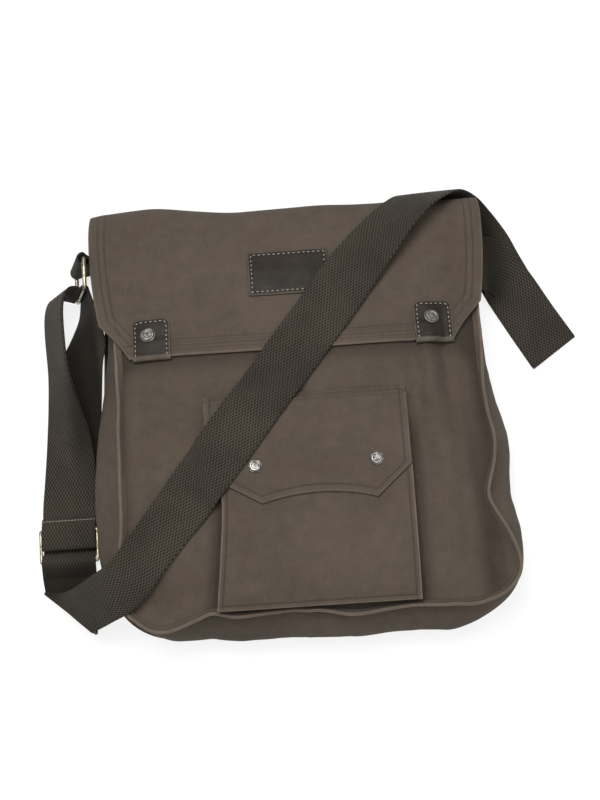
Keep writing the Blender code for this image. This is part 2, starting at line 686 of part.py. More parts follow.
def pocket_flap_grid(under):
    half = POCKET_FLAP_WIDTH / 2
    places = [-1.0, -0.82, -0.64, -0.47, -0.36, -0.2, 0.0, 0.2, 0.38, 0.54, 0.65, 0.82, 1.0]
    shares = [0.0, 0.12, 0.28, 0.46, 0.64, 0.80, 0.90, 0.96, 1.0]
    grid = []
    for share in shares:
        row = []
        for place in places:
            x = POCKET_X + place * half
            low = pocket_flap_low_edge(x)
            y = low + (POCKET_FLAP_TOP_Y - low) * share
            row.append(Vector((x, y, laid_on(under, x, y, POCKET_FLAP_FEEL * (1 if place > -0.7 else 2), CANVAS))))
        grid.append(row)
    return grid


def tab_grid(flap, middle):
    """A leather tab on the flap, round at its upper corners, with its foot turned over the edge."""
    half = TAB_WIDTH / 2
    places = [-1.0, -0.9, -0.66, -0.22, 0.22, 0.66, 0.9, 1.0]
    grid = []
    for share in (-0.5, 0.0, 0.16, 0.45, 0.72, 0.9, 1.0):
        row = []
        for place in places:
            x = middle + place * half
            low = flap_low_edge(x)
            into = max(0.0, abs(place) * half - (half - TAB_CORNER))
            top = TAB_TOP_Y - TAB_CORNER + math.sqrt(max(TAB_CORNER ** 2 - into ** 2, 0.0))
            y = low + (top - low) * max(share, 0.0)
            z = laid_on(flap, x, y + 0.003, 0.004, LEATHER) + CLEAR * 0.75
            if share < 0:
                y -= TAB_LIP
                z -= LEATHER * 0.6
            row.append(Vector((x, y, z)))
        grid.append(row)
    return grid


def label_grid(flap):
    half = LABEL_WIDTH / 2
    grid = []
    for i in range(5):
        y = LABEL_Y + LABEL_HEIGHT * (i / 4 - 0.5)
        row = []
        for j in range(9):
            x = half * (j / 4 - 1)
            row.append(Vector((x, y, laid_on(flap, x, y, 0.004, LEATHER))))
        grid.append(row)
    return grid


def stud(name, x, y, under, diameter, finish):
    """A capped snap stud: a flat skirt, a round rim and a shallow dimple, square to the cloth."""
    step = diameter / 2

    def height(at_x, at_y):
        return top_of(under, at_x, at_y, 0.0)
    slope_x = (height(x + step, y) - height(x - step, y)) / (2 * step)
    slope_y = (height(x, y + step) - height(x, y - step)) / (2 * step)
    up = Vector((-slope_x, -slope_y, 1)).normalized()
    side = Vector((1, 0, 0))
    side = (side - up * side.dot(up)).normalized()
    fore = up.cross(side)
    radius = diameter / 2
    proud = 0.0
    for k in range(12):
        angle = 2 * math.pi * k / 12
        spread = side * math.cos(angle) * radius + fore * math.sin(angle) * radius
        proud = max(proud, height(x + spread.x, y + spread.y) - height(x, y) - spread.z)
    seat = Vector((x, y, height(x, y))) + up * (CLEAR + proud)
    profile = (
        (1.0, 0.0), (1.0, 0.30), (0.90, 0.72), (0.72, 1.0), (0.55, 0.96), (0.42, 0.62),
    )
    rings = []
    for share, rise in profile:
        ring = []
        for k in range(12):
            angle = 2 * math.pi * k / 12
            spread = side * math.cos(angle) + fore * math.sin(angle)
            ring.append(raised(seat) + spread * radius * share + up * STUD_HEIGHT * rise)
        rings.append(ring)
    return sweep(name, rings, finish)


def bar_frame(row):
    """A ring's middle, its long direction, its short direction and the way its face looks."""
    tilt = math.radians(row[3])
    middle = Vector((row[0] * HALF_SPAN, row[1] * HALF_RISE, row[2] * DEPTH))
    if row[0] < 0:
        along = Vector((math.cos(tilt), 0, math.sin(tilt)))
        across = Vector((0, 1, 0))
    else:
        along = Vector((0, 1, 0))
        across = Vector((-1, 0, 0))
    return middle, along, across, across.cross(along)


def ring(name, row, finish):
    """A rectangular wire ring with round corners, wide enough for the webbing."""
    middle, along, across, face = bar_frame(row)
    half_long = (STRAP_WIDTH + RING_PLAY + RING_WIRE) / 2
    half_short = (RING_SHORT - RING_WIRE) / 2
    corner = RING_WIRE * 0.8
    sections = []
    for quarter in range(4):
        sx = 1 if quarter in (0, 3) else -1
        sy = 1 if quarter in (0, 1) else -1
        for k in range(4):
            angle = math.pi / 2 * (quarter + k / 3)
            out = along * math.cos(angle) + across * math.sin(angle)
            spot = middle + along * sx * (half_long - corner) + across * sy * (half_short - corner) + out * corner
            section = []
            for j in range(6):
                turn = 2 * math.pi * (j + 0.5) / 6
                section.append(spot + (out * math.cos(turn) + face * math.sin(turn)) * RING_WIRE / 2)
            sections.append(section)
    lifted = lift(middle.x, middle.y)
    for section in sections:
        for point in section:
            point.z += lifted
    return sweep(name, sections, finish, closed=True)


def webbing_loop(name, row, wall_point, knee, finish):
    """The doubled webbing that holds a ring to the gusset, one U-shaped sheet with a knee in it."""
    middle, along, across, face = bar_frame(row)
    bar = middle + across * (RING_SHORT - RING_WIRE) / 2
    bar.z += lift(middle.x, middle.y)
    radius = RING_WIRE / 2 + CLEAR + STRAP_THICK / 2 + LOOP_SLACK
    lanes = [-0.5 + k / 3 for k in range(4)]
    toward_wall = Vector((-math.copysign(1, row[0]), 0, 0))
    away = -(toward_wall - along * toward_wall.dot(along)).normalized()
    ply = along.cross(away)
    root_gap = STRAP_THICK / 2 + CLEAR / 2

    def bent(wall, side):
        return Vector((
            wall.x + (side.x - wall.x) * knee[0], (wall.y + side.y) / 2, wall.z + (side.z - wall.z) * knee[1]))

    grid = []
    for lane in lanes:
        held = bar + along * lane * STRAP_WIDTH
        wall = wall_point(lane, ply, root_gap)
        line = [wall[0], bent(wall[0], held + ply * radius)]
        for k in range(9):
            angle = math.pi * k / 8
            line.append(held + ply * radius * math.cos(angle) + away * radius * math.sin(angle))
        line += [bent(wall[1], held - ply * radius), wall[1]]
        grid.append(line)
    return slab(name, grid, STRAP_THICK, finish, outer_share=0.5)


def plate_with_slots(name, xs, ys, slots, low, high, finish):
    """A flat plate on a grid of cells, with the cells in slots left out."""
    index, points, faces = {}, [], []

    def corner(i, j, top):
        key = (i, j, top)
        if key not in index:
            index[key] = len(points)
            points.append(Vector((xs[i], ys[j], high if top else low)))
        return index[key]

    def solid(i, j):
        return 0 <= i < len(xs) - 1 and 0 <= j < len(ys) - 1 and (i, j) not in slots

    for i in range(len(xs) - 1):
        for j in range(len(ys) - 1):
            if not solid(i, j):
                continue
            cell = [(i, j), (i + 1, j), (i + 1, j + 1), (i, j + 1)]
            faces.append(tuple(corner(a, b, True) for a, b in cell))
            faces.append(tuple(corner(a, b, False) for a, b in reversed(cell)))
            neighbours = [(i, j - 1), (i + 1, j), (i, j + 1), (i - 1, j)]
            for k, beside in enumerate(neighbours):
                if not solid(*beside):
                    a, b = cell[k], cell[(k + 1) % 4]
                    faces.append((corner(*a, True), corner(*a, False), corner(*b, False), corner(*b, True)))
    return new_object(name, points, faces, finish)


def rung(x, y, z, turn, tilt=0.0, width=1.0):
    """Both edges of the webbing at one place on its route, left one first."""
    half = STRAP_WIDTH * width / 2
    turn, tilt = math.radians(turn), math.radians(tilt)
    reach = Vector((math.cos(turn) * math.cos(tilt), math.sin(turn) * math.cos(tilt), math.sin(tilt)))
    middle = Vector((x, y, z))
    return middle - reach * half, middle + reach * half


def spline(rungs, pieces):
    """Rungs on a smooth line through the given ones."""
    out = []
    for k in range(len(rungs) - 1):
        before = rungs[max(k - 1, 0)]
        start, end = rungs[k], rungs[k + 1]
        after = rungs[min(k + 2, len(rungs) - 1)]
        for step in range(pieces):
            t = step / pieces
            pair = []
            for side in (0, 1):
                p0, p1, p2, p3 = before[side], start[side], end[side], after[side]
                point = p1 * 2 + (p2 - p0) * t + (p0 * 2 - p1 * 5 + p2 * 4 - p3) * t ** 2
                point += (p1 * 3 - p0 - p2 * 3 + p3) * t ** 3
                pair.append(point / 2)
            out.append(tuple(pair))
    out.append(rungs[-1])
    return out


def even_rungs(rungs):
    """Rungs at even steps along a smooth line, and the place of each among the given rungs."""
    pieces = 12
    fine = spline(rungs, pieces)
    middles = np.array([tuple((a + b) / 2) for a, b in fine])
    travel = np.concatenate([[0.0], np.cumsum(np.linalg.norm(np.diff(middles, axis=0), axis=1))])
    count = math.ceil(travel[-1] / STRAP_STATION)
    places = np.interp(np.linspace(0.0, travel[-1], count + 1), travel, np.arange(len(fine)))
    out = []
    for place in places:
        before = min(int(place), len(fine) - 2)
        share = place - before
        out.append(tuple(fine[before][side].lerp(fine[before + 1][side], share) for side in (0, 1)))
    return out, places / pieces


def round_bar(first_side, last_side, through, steps=6):
    """Rungs round a bar or a crease: from one side of it to the other, by way of a third."""
    out = []
    for k in range(1, steps):
        angle = math.pi * k / steps
        pair = []
        for side in (0, 1):
            centre = (first_side[side] + last_side[side]) / 2
            arm = first_side[side] - centre
            pair.append(centre + arm * math.cos(angle) + through * arm.length * math.sin(angle))
        out.append(tuple(pair))
    return out


def spaced(rungs, lanes):
    """The grid of lane points between the two edges of each rung."""
    return [[a.lerp(b, k / lanes) for k in range(lanes + 1)] for a, b in rungs]


def draped_front_run(tree, rungs_flat):
    """Lay the front run's lanes on the bag: no lower than what is under them, and never steep."""
    lanes = STRAP_LANES + 1
    reach = 0.008
    steepest = 1.05
    floor = 2 * WEBBING_LAYER - STRAP_THICK / 2
    flat = [[Vector(p) for p in row] for row in spaced(rungs_flat, STRAP_LANES)]

    def under(x, y):
        hit = tree.ray_cast(Vector((x, y, 5 * DEPTH)), Vector((0, 0, -1)))
        return hit[0].z if hit[0] else 0.0

    heights = np.zeros((len(flat), lanes))
    for k, row in enumerate(flat):
        for j, p in enumerate(row):
            y = min(p.y, STRAP_WRAP_Y)
            around = (-0.009, -0.0045, 0, 0.0045, 0.009)
            found = max(under(p.x + dx, y + dy) for dx in around for dy in around)
            heights[k, j] = max(found + STRAP_CLEAR + STRAP_THICK / 2, floor)
    plan = np.array([[(p.x, p.y) for p in row] for row in flat])
    steps = np.linalg.norm(np.diff(plan, axis=0), axis=2)
    travel = np.vstack([np.zeros(lanes), np.cumsum(steps, axis=0)])
    laid = heights.copy()
    for j in range(lanes):
        s = travel[:, j]
        near = np.abs(s[:, None] - s[None, :])
        widened = np.where(near <= reach, heights[None, :, j], -1).max(axis=1)
        cone = (widened[None, :] - steepest * near).max(axis=1)
        cone = np.maximum(cone, floor)
        weights = (near <= reach).astype(float)
        laid[:, j] = (weights * cone[None, :]).sum(axis=1) / weights.sum(axis=1)
    across = laid.copy()
    across[:, 1:-1] = np.maximum(laid[:, 1:-1], (laid[:, :-2] + laid[:, 2:]) / 2)
    return flat, across, floor


def strap_grid(tree):
    """Every rung of the shoulder strap, from the sewn end by the slider to the one in the right ring."""
    def place(row, turn=0.0):
        return rung(row[0] * HALF_SPAN, row[1] * HALF_RISE, row[2] * DEPTH, turn, row[3])

    grid = []
    left_middle, left_along, left_across, left_face = bar_frame(LEFT_RING)
    bar = left_middle - left_across * (RING_SHORT - RING_WIRE) / 2
    arm = RING_WIRE / 2 + CLEAR + STRAP_THICK / 2
    edge = left_along * STRAP_WIDTH / 2
    over = -left_face
    if over.x > 0:
        over = -over
    bar_out = (bar + over * arm - edge, bar + over * arm + edge)
    bar_in = (bar - over * arm - edge, bar - over * arm + edge)

    sewn = [place(row) for row in LEFT_OUT]
    climb = [place(row) for row in LEFT_UP]
    grid += spaced(spline(sewn, 1), STRAP_LANES)
    grid += spaced(round_bar(sewn[-1], climb[0], Vector((0, -1, 0))), STRAP_LANES)
    grid += spaced(spline(climb + [bar_out], 2), STRAP_LANES)
    grid += spaced(round_bar(bar_out, bar_in, Vector((0, 1, 0))), STRAP_LANES)
    down = [bar_in] + [place(row) for row in LEFT_DOWN]
    grid += spaced(spline(down, 2), STRAP_LANES)

    crease_x, crease_y, crease_turn, crease_width = LEFT_CREASE
    low = WEBBING_LAYER - STRAP_THICK / 2
    high = low + WEBBING_LAYER
    crease = [crease_x * HALF_SPAN, crease_y * HALF_RISE]
    crease_low = rung(*crease, low, crease_turn, width=crease_width)
    crease_high = rung(*crease, high, crease_turn, width=crease_width)
    turn = math.radians(crease_turn)
    beyond = Vector((math.sin(turn), -math.cos(turn), 0))
    grid += spaced(spline([down[-1], crease_low], 4)[1:], STRAP_LANES)
    grid += spaced(round_bar(crease_low, crease_high, beyond, 5), STRAP_LANES)

    flat_rungs = [(crease_high[0] * 1.0, crease_high[1] * 1.0)]
    rises = [0.0]
    for x, travel, turn_here, width, rise in FRONT_RUN:
        flat_rungs.append(rung(x * HALF_SPAN, travel * HALF_RISE, 0.0, turn_here, width=width))
        rises.append(rise)
    for pair in flat_rungs:
        for point in pair:
            point.z = 0.0
    fine, places = even_rungs(flat_rungs)
    rise_at = np.interp(places, range(len(rises)), rises)
    flat, heights, floor = draped_front_run(tree, fine)
    wrap_end = STRAP_WRAP_Y + STRAP_WRAP_GIRTH
    for k, row in enumerate(flat):
        line = []
        for j, p in enumerate(row):
            top = heights[k, j] + rise_at[k] * STRAP_WIDTH * (j / STRAP_LANES) ** 1.5
            past = (p.y - STRAP_WRAP_Y) / STRAP_WRAP_GIRTH
            if past <= 0:
                line.append(Vector((p.x, p.y, top)))
            elif past < 1:
                angle = math.pi * past
                y = STRAP_WRAP_Y + STRAP_WRAP_REACH * math.sin(angle)
                z = low + (top - low) * (1 + math.cos(angle)) / 2
                line.append(Vector((p.x, y, z)))
            else:
                line.append(Vector((p.x, STRAP_WRAP_Y - (p.y - wrap_end), low)))
        grid.append(line)

    out = [rung(r[0] * HALF_SPAN, r[1] * HALF_RISE, low, r[3], width=r[4]) for r in RIGHT_OUT]
    right_x, right_y, right_turn, right_width = RIGHT_CREASE
    spot = [right_x * HALF_SPAN, right_y * HALF_RISE]
    fold_low = rung(*spot, low, right_turn, width=right_width)
    fold_high = rung(*spot, high, right_turn, width=right_width)
    turn = math.radians(right_turn)
    beyond = Vector((math.sin(turn), -math.cos(turn), 0))
    last = (grid[-1][0], grid[-1][-1])
    grid += spaced(spline([last] + out + [fold_low], 3)[1:], STRAP_LANES)
    grid += spaced(round_bar(fold_low, fold_high, beyond, 5), STRAP_LANES)

    right_middle, right_along, right_across, _ = bar_frame(RIGHT_RING)
    held = right_middle - right_across * (RING_SHORT - RING_WIRE) / 2
    held.z += lift(right_middle.x, right_middle.y)
    edge = right_along * STRAP_WIDTH / 2
    above = Vector((0, 0, arm))
    bar_top = (held + above - edge, held + above + edge)
    bar_low = (held - above - edge, held - above + edge)
    back = [rung(r[0] * HALF_SPAN, r[1] * HALF_RISE, r[2] * DEPTH, r[3], width=r[4]) for r in RIGHT_BACK]
    end = [rung(r[0] * HALF_SPAN, r[1] * HALF_RISE, r[2] * DEPTH, r[3], width=r[4]) for r in RIGHT_END]
    grid += spaced(spline([fold_high] + back + [bar_top], 2), STRAP_LANES)
    grid += spaced(round_bar(bar_top, bar_low, Vector((-1, 0, 0))), STRAP_LANES)
    grid += spaced(spline([bar_low] + end, 2), STRAP_LANES)
    lowest = WEBBING_LAYER - STRAP_THICK / 2
    return [[Vector((p.x, p.y, max(p.z, lowest))) for p in row] for row in grid]


def world_tree(things):
    """One search tree over the faces of several objects."""
    points, faces = [], []
    for thing in things:
        start = len(points)
        points += [v.co.copy() for v in thing.data.vertices]
        faces += [tuple(start + k for k in p.vertices) for p in thing.data.polygons]
    return BVHTree.FromPolygons(points, faces)


def lifted_grid(grid):
    return [[raised(p) for p in row] for row in grid]


def build():
    clear_scene()
    canvas = material("canvas", (0.115, 0.090, 0.067), 0.9)
    webbing = material("webbing", (0.050, 0.043, 0.034), 0.85)
    leather = material("leather", (0.045, 0.036, 0.028), 0.5)
    brass = material("antique_brass", (0.35, 0.29, 0.16), 0.35, 1.0)
    nickel = material("nickel", (0.72, 0.70, 0.66), 0.25, 1.0)

    front = panel_grid(FRONT_WIDTH, FRONT_BOTTOM_Y, FRONT_CORNER, lambda x, y: seam_wave(x, y, 2), front_height)
    back = panel_grid(BACK_WIDTH, BACK_BOTTOM_Y, BACK_CORNER, back_outline_wave, lambda x, y: 0.0)
    front_loop, back_loop = u_loop(front), u_loop(back)
    gusset = gusset_columns(front_loop, back_loop)
    over = [slab("front_panel", lifted_grid(front), CANVAS, canvas)]
    slab("back_panel", lifted_grid([list(reversed(row)) for row in back]), CANVAS, canvas)
    gusset_rows = [[column[k] for column in gusset] for k in range(GUSSET_LEVELS + 1)]
    over.append(slab("gusset", lifted_grid(gusset_rows), CANVAS, canvas, level_rims=True))

    outs = outward(front_loop)
    sections = []
    for point, out in zip(front_loop, outs):
        lean = table(WELT_LEAN, point.y / HALF_RISE, 2 if point.x > 0 else 1)
        sections.append([raised(p) for p in welt_section(point, out, math.radians(lean), WELT_SEAT)])
    over.append(sweep("front_welt", sections, canvas))
    sections = []
    for point, out in zip(back_loop, outward(back_loop)):
        root = point + Vector((0, 0, WELT_THICK / 2 + CLEAR))
        sections.append([raised(p) for p in welt_section(root, out, 0.0, WELT_SEAT * 2.2)])
    sweep("back_welt", sections, canvas)

    panel_tree = grid_tree(front)
    flap = flap_grid(panel_tree)
    flap_tree = grid_tree(flap)
    pocket = pocket_grid(panel_tree)
    pocket_flap = pocket_flap_grid(grid_tree(front, pocket))
    pocket_flap_tree = grid_tree(pocket_flap)
    over.append(slab("main_flap", lifted_grid(flap), CANVAS, canvas))
    over.append(slab("pocket", lifted_grid(pocket), CANVAS, canvas))
    over.append(slab("pocket_flap", lifted_grid(pocket_flap), CANVAS, canvas))
    over.append(slab("label_patch", lifted_grid(label_grid(flap_tree)), LEATHER, leather))
    for side, sign in (("left", -1), ("right", 1)):
        tab = tab_grid(flap_tree, sign * TAB_X)
        over.append(slab(f"flap_tab_{side}", lifted_grid(tab), LEATHER, leather))
        over.append(stud(f"flap_stud_{side}", sign * TAB_X + STUD_SHIFT, STUD_Y, grid_tree(tab), STUD_DIAMETER, nickel))
        x = POCKET_STUD_MIDDLE_X + sign * POCKET_STUD_X
        over.append(stud(
            f"pocket_stud_{side}", x, POCKET_STUD_Y, pocket_flap_tree, POCKET_STUD_DIAMETER, nickel))

    ring("ring_left", LEFT_RING, brass)
    ring("ring_right", RIGHT_RING, brass)
    tree = world_tree(over)

    def left_wall(lane, ply, gap):
        z = LOOP_SEAT_Z + lane * LOOP_SEAT_SPAN
        out = []
        for sign in (1, -1):
            y = LEFT_RING[1] * HALF_RISE + (RING_SHORT - RING_WIRE) / 2 + ply.y * gap * sign
            hit = tree.ray_cast(Vector((-2 * HALF_SPAN, y, z)), Vector((1, 0, 0)))[0]
            out.append(Vector((hit.x - LOOP_CLEAR, y, z)))
        return out

    def right_wall(lane, ply, gap):
        y = RIGHT_RING[1] * HALF_RISE + lane * STRAP_WIDTH
        bar_x = RIGHT_RING[0] * HALF_SPAN - RING_SHORT / 2
        middle_z = RIGHT_RING[2] * DEPTH + lift(bar_x - RING_SHORT / 2, y)
        out = []
        for sign in (1, -1):
            z = middle_z + ply.z * gap * sign
            hit = tree.ray_cast(Vector((bar_x, y, z)), Vector((-1, 0, 0)))[0]
            out.append(Vector((hit.x + LOOP_CLEAR, y, z)))
        return out

    webbing_loop("ring_loop_left", LEFT_RING, left_wall, (0.75, 0.25), webbing)
    webbing_loop("ring_loop_right", RIGHT_RING, right_wall, (0.6, 0.15), webbing)

    slider_x = LEFT_UP[0][0] * HALF_SPAN
    centre_y = LEFT_UP[0][1] * HALF_RISE
    half = (STRAP_WIDTH + RING_PLAY) / 2
    xs = [slider_x - half - SLIDER_BAR, slider_x - half, slider_x + half, slider_x + half + SLIDER_BAR]
    reach = SLIDER_LENGTH / 2
    ys = [
        centre_y - reach, centre_y - reach + SLIDER_BAR, centre_y - SLIDER_BAR / 2,
        centre_y + SLIDER_BAR / 2, centre_y + reach - SLIDER_BAR, centre_y + reach,
    ]
    middle_z = (LEFT_UP[0][2] + LEFT_OUT[-1][2]) / 2 * DEPTH
    plate_with_slots(
        "strap_slider", xs, ys, {(1, 1), (1, 3)}, middle_z - SLIDER_THICK / 2, middle_z + SLIDER_THICK / 2, brass)

    slab("shoulder_strap", strap_grid(tree), STRAP_THICK, webbing, outer_share=0.5)


build()
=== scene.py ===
"""A dressed canvas messenger bag that lies on its back, with its webbing strap laid across the front.

The file is laid out as a Blender add-on and is run as a script. Every length is in metres, in the
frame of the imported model. Tables of seams and folds hold shares of the sizes that they follow.
"""
import math

import bpy
import numpy as np
from mathutils import Matrix, Vector, noise
from mathutils.bvhtree import BVHTree


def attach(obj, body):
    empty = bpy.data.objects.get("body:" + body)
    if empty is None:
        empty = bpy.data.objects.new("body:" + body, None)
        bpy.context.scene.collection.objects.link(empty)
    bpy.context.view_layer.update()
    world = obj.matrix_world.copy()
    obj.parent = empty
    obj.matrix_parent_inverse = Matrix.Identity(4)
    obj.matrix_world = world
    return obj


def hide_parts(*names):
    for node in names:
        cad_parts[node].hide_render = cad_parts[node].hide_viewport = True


bl_info = {
    "name": "Canvas Messenger Bag",
    "version": (1, 0, 0),
    "blender": (4, 5, 0),
    "location": "View3D > Sidebar > Bag",
    "description": "Builds the cloth, leather, webbing, fittings and stitching of a canvas bag",
    "category": "Object",
}

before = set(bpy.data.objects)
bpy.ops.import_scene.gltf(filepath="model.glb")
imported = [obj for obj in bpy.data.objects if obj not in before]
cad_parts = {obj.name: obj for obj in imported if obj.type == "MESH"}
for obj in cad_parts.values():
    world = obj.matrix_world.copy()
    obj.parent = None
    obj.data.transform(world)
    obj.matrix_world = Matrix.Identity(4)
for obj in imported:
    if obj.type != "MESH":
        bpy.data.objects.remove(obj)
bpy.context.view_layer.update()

# Sizes that follow the solid model
BODY_WIDTH = 0.400
BODY_HEIGHT = 0.400
HALF_SPAN = BODY_WIDTH / 2
HALF_RISE = BODY_HEIGHT / 2
FRONT_WIDTH = BODY_WIDTH - 2 * 0.030
BACK_WIDTH = BODY_WIDTH - 2 * 0.019
MOUTH_Y = HALF_RISE - 0.010
FRONT_BOTTOM_Y = 0.0215 - HALF_RISE
BACK_BOTTOM_Y = 0.013 - HALF_RISE
FRONT_CORNER = 0.033
BACK_CORNER = 0.054
BACK_TAPER = 0.008
DEPTH = 0.070
PUFF = 0.016
CANVAS = 0.0018
CLEAR = 0.0004
MOUTH_LIFT = 0.0055
LIFT_TURN = math.radians(32)
LIFT_START = 0.94
LIFT_REACH = 0.13
WELT_WIDTH = 0.0072
WELT_THICK = 0.0026
WELT_SEAT = 0.0002
PANEL_TUCK = 0.0024
FLAP_HALF = HALF_SPAN - 0.0115
FLAP_ROLL = 0.0205
FLAP_LOW_Y = MOUTH_Y - 0.128
FLAP_BOW = 0.0020
FLAP_TAPER = 0.018
FLAP_X = -0.0015
FLAP_CHAMFER_X = 0.037
FLAP_CHAMFER_Y = 0.034
FLAP_OVER_WELT = 0.0062
FLAP_DROOP = 0.0070
POCKET_X = 0.0070
POCKET_WIDTH = 0.186
POCKET_LEAN = ((0.0, 0.003), (0.3, 0.010), (0.55, 0.013), (0.8, 0.006), (1.0, 0.0))
POCKET_LOW_Y = -0.1765
POCKET_TOP_Y = 0.0100
POCKET_PROUD = 0.0125
POCKET_MOUTH_PROUD = 0.0045
POCKET_INSET = 0.0050
POCKET_UNDERCUT = 0.0080
POCKET_FLAP_TOP_Y = 0.0190
POCKET_FLAP_WIDTH = 0.184
POCKET_FLAP_TIP_Y = -0.0830
POCKET_FLAP_SIDE_Y = -0.0545
POCKET_FLAP_ARCH = 0.0078
POCKET_FLAP_TIPS = (-0.47, 0.65)
LEATHER = 0.0016
TAB_WIDTH = 0.0355
TAB_TOP_Y = 0.1005
TAB_X = 0.1315
TAB_CORNER = 0.0070
LABEL_WIDTH = 0.0750
LABEL_HEIGHT = 0.0440
LABEL_Y = 0.1385
STUD_DIAMETER = 0.0142
STUD_HEIGHT = 0.0034
STUD_Y = 0.0835
STUD_SHIFT = -0.0020
POCKET_STUD_DIAMETER = 0.0122
POCKET_STUD_X = 0.0545
POCKET_STUD_MIDDLE_X = 0.0135
POCKET_STUD_Y = -0.0490
STRAP_WIDTH = 0.0500
STRAP_THICK = 0.0020
STRAP_CLEAR = 0.0007
RING_SHORT = 0.0340
RING_WIRE = 0.0040
RING_PLAY = 0.0010
LOOP_SLACK = 0.0022
LOOP_CLEAR = 0.0020
LOOP_SEAT_Z = 0.0180
LOOP_SEAT_SPAN = 0.0220
SLIDER_LENGTH = 0.0330
SLIDER_BAR = 0.0026
SLIDER_THICK = 0.0024
SLIDER_CORNER = 0.0016
STRAP_WRAP_REACH = 0.0305
STRAP_WRAP_GIRTH = 0.0850
STRAP_WRAP_Y = MOUTH_Y - 0.005
WEBBING_LAYER = STRAP_THICK + 0.0006

# How finely the cloth is laid out
PANEL_COLUMNS = 120
PANEL_ROWS = 110
GUSSET_LEVELS = 30
FLAP_COLUMNS = 108
FLAP_FRONT_ROWS = 64
FLAP_TURN_ROWS = 30
POCKET_COLUMNS = 72
POCKET_ROWS = 66
POCKET_FLAP_COLUMNS = 76
POCKET_FLAP_ROWS = 46
TAB_COLUMNS = 30
TAB_ROWS = 22
LABEL_COLUMNS = 50
LABEL_ROWS = 30
STRAP_LANES = 16
STRAP_STATION = 0.0035

# How wide a patch of the cloth below carries a point that is laid on it
SEAT_REACH = 0.003

# Turned hems, and how far each row of stitches lies from its edge
FLAP_HEM = 0.0145
FLAP_HEM_RISE = 0.0009
FLAP_HEM_BAND = 0.0168
FLAP_SIDE_ROWS = (0.0092, 0.0158)
FLAP_FOOT_ROWS = (0.0055, 0.0125)
POCKET_ROW = 0.0048
POCKET_FLAP_HEM = 0.0062
POCKET_FLAP_HEM_RISE = 0.0006
POCKET_FLAP_ROW = 0.0056
POCKET_FLAP_FOOT_ROW = 0.0064
POCKET_FLAP_TOP_ROWS = (0.003, 0.0085)
POCKET_SIDE_ROW = 0.0052
LEATHER_ROW = 0.003
LEATHER_STITCHES = (0.0046, 0.0026, 0.0010)
WEBBING_STITCHES = (0.0030, 0.0025, 0.0007)

# How far the painted shade reaches from the pocket's sides, the flap's lower edge and the side seams
SHADE_BY_POCKET = 0.012
SHADE_BY_FLAP = 0.016
SHADE_BY_SEAM = 0.014

# Way up the front, and a share of DEPTH or of PUFF there
SEAM_HEIGHTS = ((0.0, 0.97), (0.18, 1.0), (0.42, 0.96), (0.62, 0.83), (0.82, 0.65), (1.0, 0.50))
PUFF_SHARES = (
    (0.0, 0.10), (0.06, 0.55), (0.16, 0.85), (0.35, 1.0), (0.65, 0.95), (0.85, 0.75), (1.0, 0.55),
)

# Waves of the front seam: x and y shares, outward and downward shares of DEPTH, reach share
SEAM_WAVES = (
    (-0.85, 0.30, -0.14, 0.00, 0.55),
    (-0.85, -0.45, -0.11, 0.00, 0.35),
    (0.85, -0.20, 0.08, 0.00, 0.16),
    (0.85, -0.42, -0.10, 0.00, 0.12),
    (0.88, -0.74, 0.26, 0.14, 0.20),
    (0.93, -0.95, 0.24, 0.00, 0.13),
    (0.72, -0.92, -0.08, 0.00, 0.09),
    (-0.84, -0.86, 0.05, 0.22, 0.22),
    (0.46, -0.92, -0.03, 0.00, 0.15),
    (0.22, -0.92, 0.05, 0.00, 0.12),
    (-0.10, -0.92, -0.07, 0.00, 0.20),
    (-0.44, -0.92, -0.09, 0.00, 0.08),
    (-0.66, -0.92, 0.10, 0.03, 0.10),
)

# Folds of the front: x, y shares, angle in degrees, half length, half width, height share of PUFF
FRONT_FOLDS = (
    (0.62, 0.16, 93.0, 0.26, 0.035, 0.22),
    (0.70, 0.10, 96.0, 0.30, 0.045, -0.20),
    (0.55, 0.12, 88.0, 0.20, 0.040, -0.13),
    (0.66, -0.50, 78.0, 0.34, 0.070, 0.20),
    (-0.72, -0.10, 91.0, 0.60, 0.055, -0.16),
    (-0.64, -0.62, 40.0, 0.16, 0.070, 0.26),
    (-0.58, -0.80, 12.0, 0.20, 0.045, -0.18),
    (0.74, -0.82, -38.0, 0.14, 0.050, 0.22),
    (-0.30, 0.62, 4.0, 0.50, 0.090, 0.12),
    (0.20, 0.86, -3.0, 0.40, 0.055, 0.14),
    (-0.66, 0.72, 82.0, 0.22, 0.070, 0.12),
    (0.555, -0.16, 92.0, 0.42, 0.034, -0.26),
    (0.66, -0.22, 92.0, 0.40, 0.050, 0.20),
    (0.80, -0.20, 94.0, 0.46, 0.036, -0.26),
    (0.70, 0.24, 95.0, 0.16, 0.026, -0.24),
    (-0.46, -0.62, 88.0, 0.30, 0.036, -0.18),
)

# Place up the side, and how far the left and the right of the gusset stand out, as shares of DEPTH
SIDE_BULGE = (
    (-1.00, 0.27, 0.14), (-0.70, 0.34, 0.24), (-0.50, 0.33, 0.30), (-0.25, 0.30, 0.26),
    (0.05, 0.22, 0.16), (0.30, 0.14, 0.08), (0.55, 0.11, 0.00), (0.95, 0.10, 0.00),
)
BOTTOM_BULGE = 0.27
TUCK = ((0.28, 0.0), (0.42, 0.26), (0.55, 0.62), (0.88, 0.62), (0.95, 0.55))

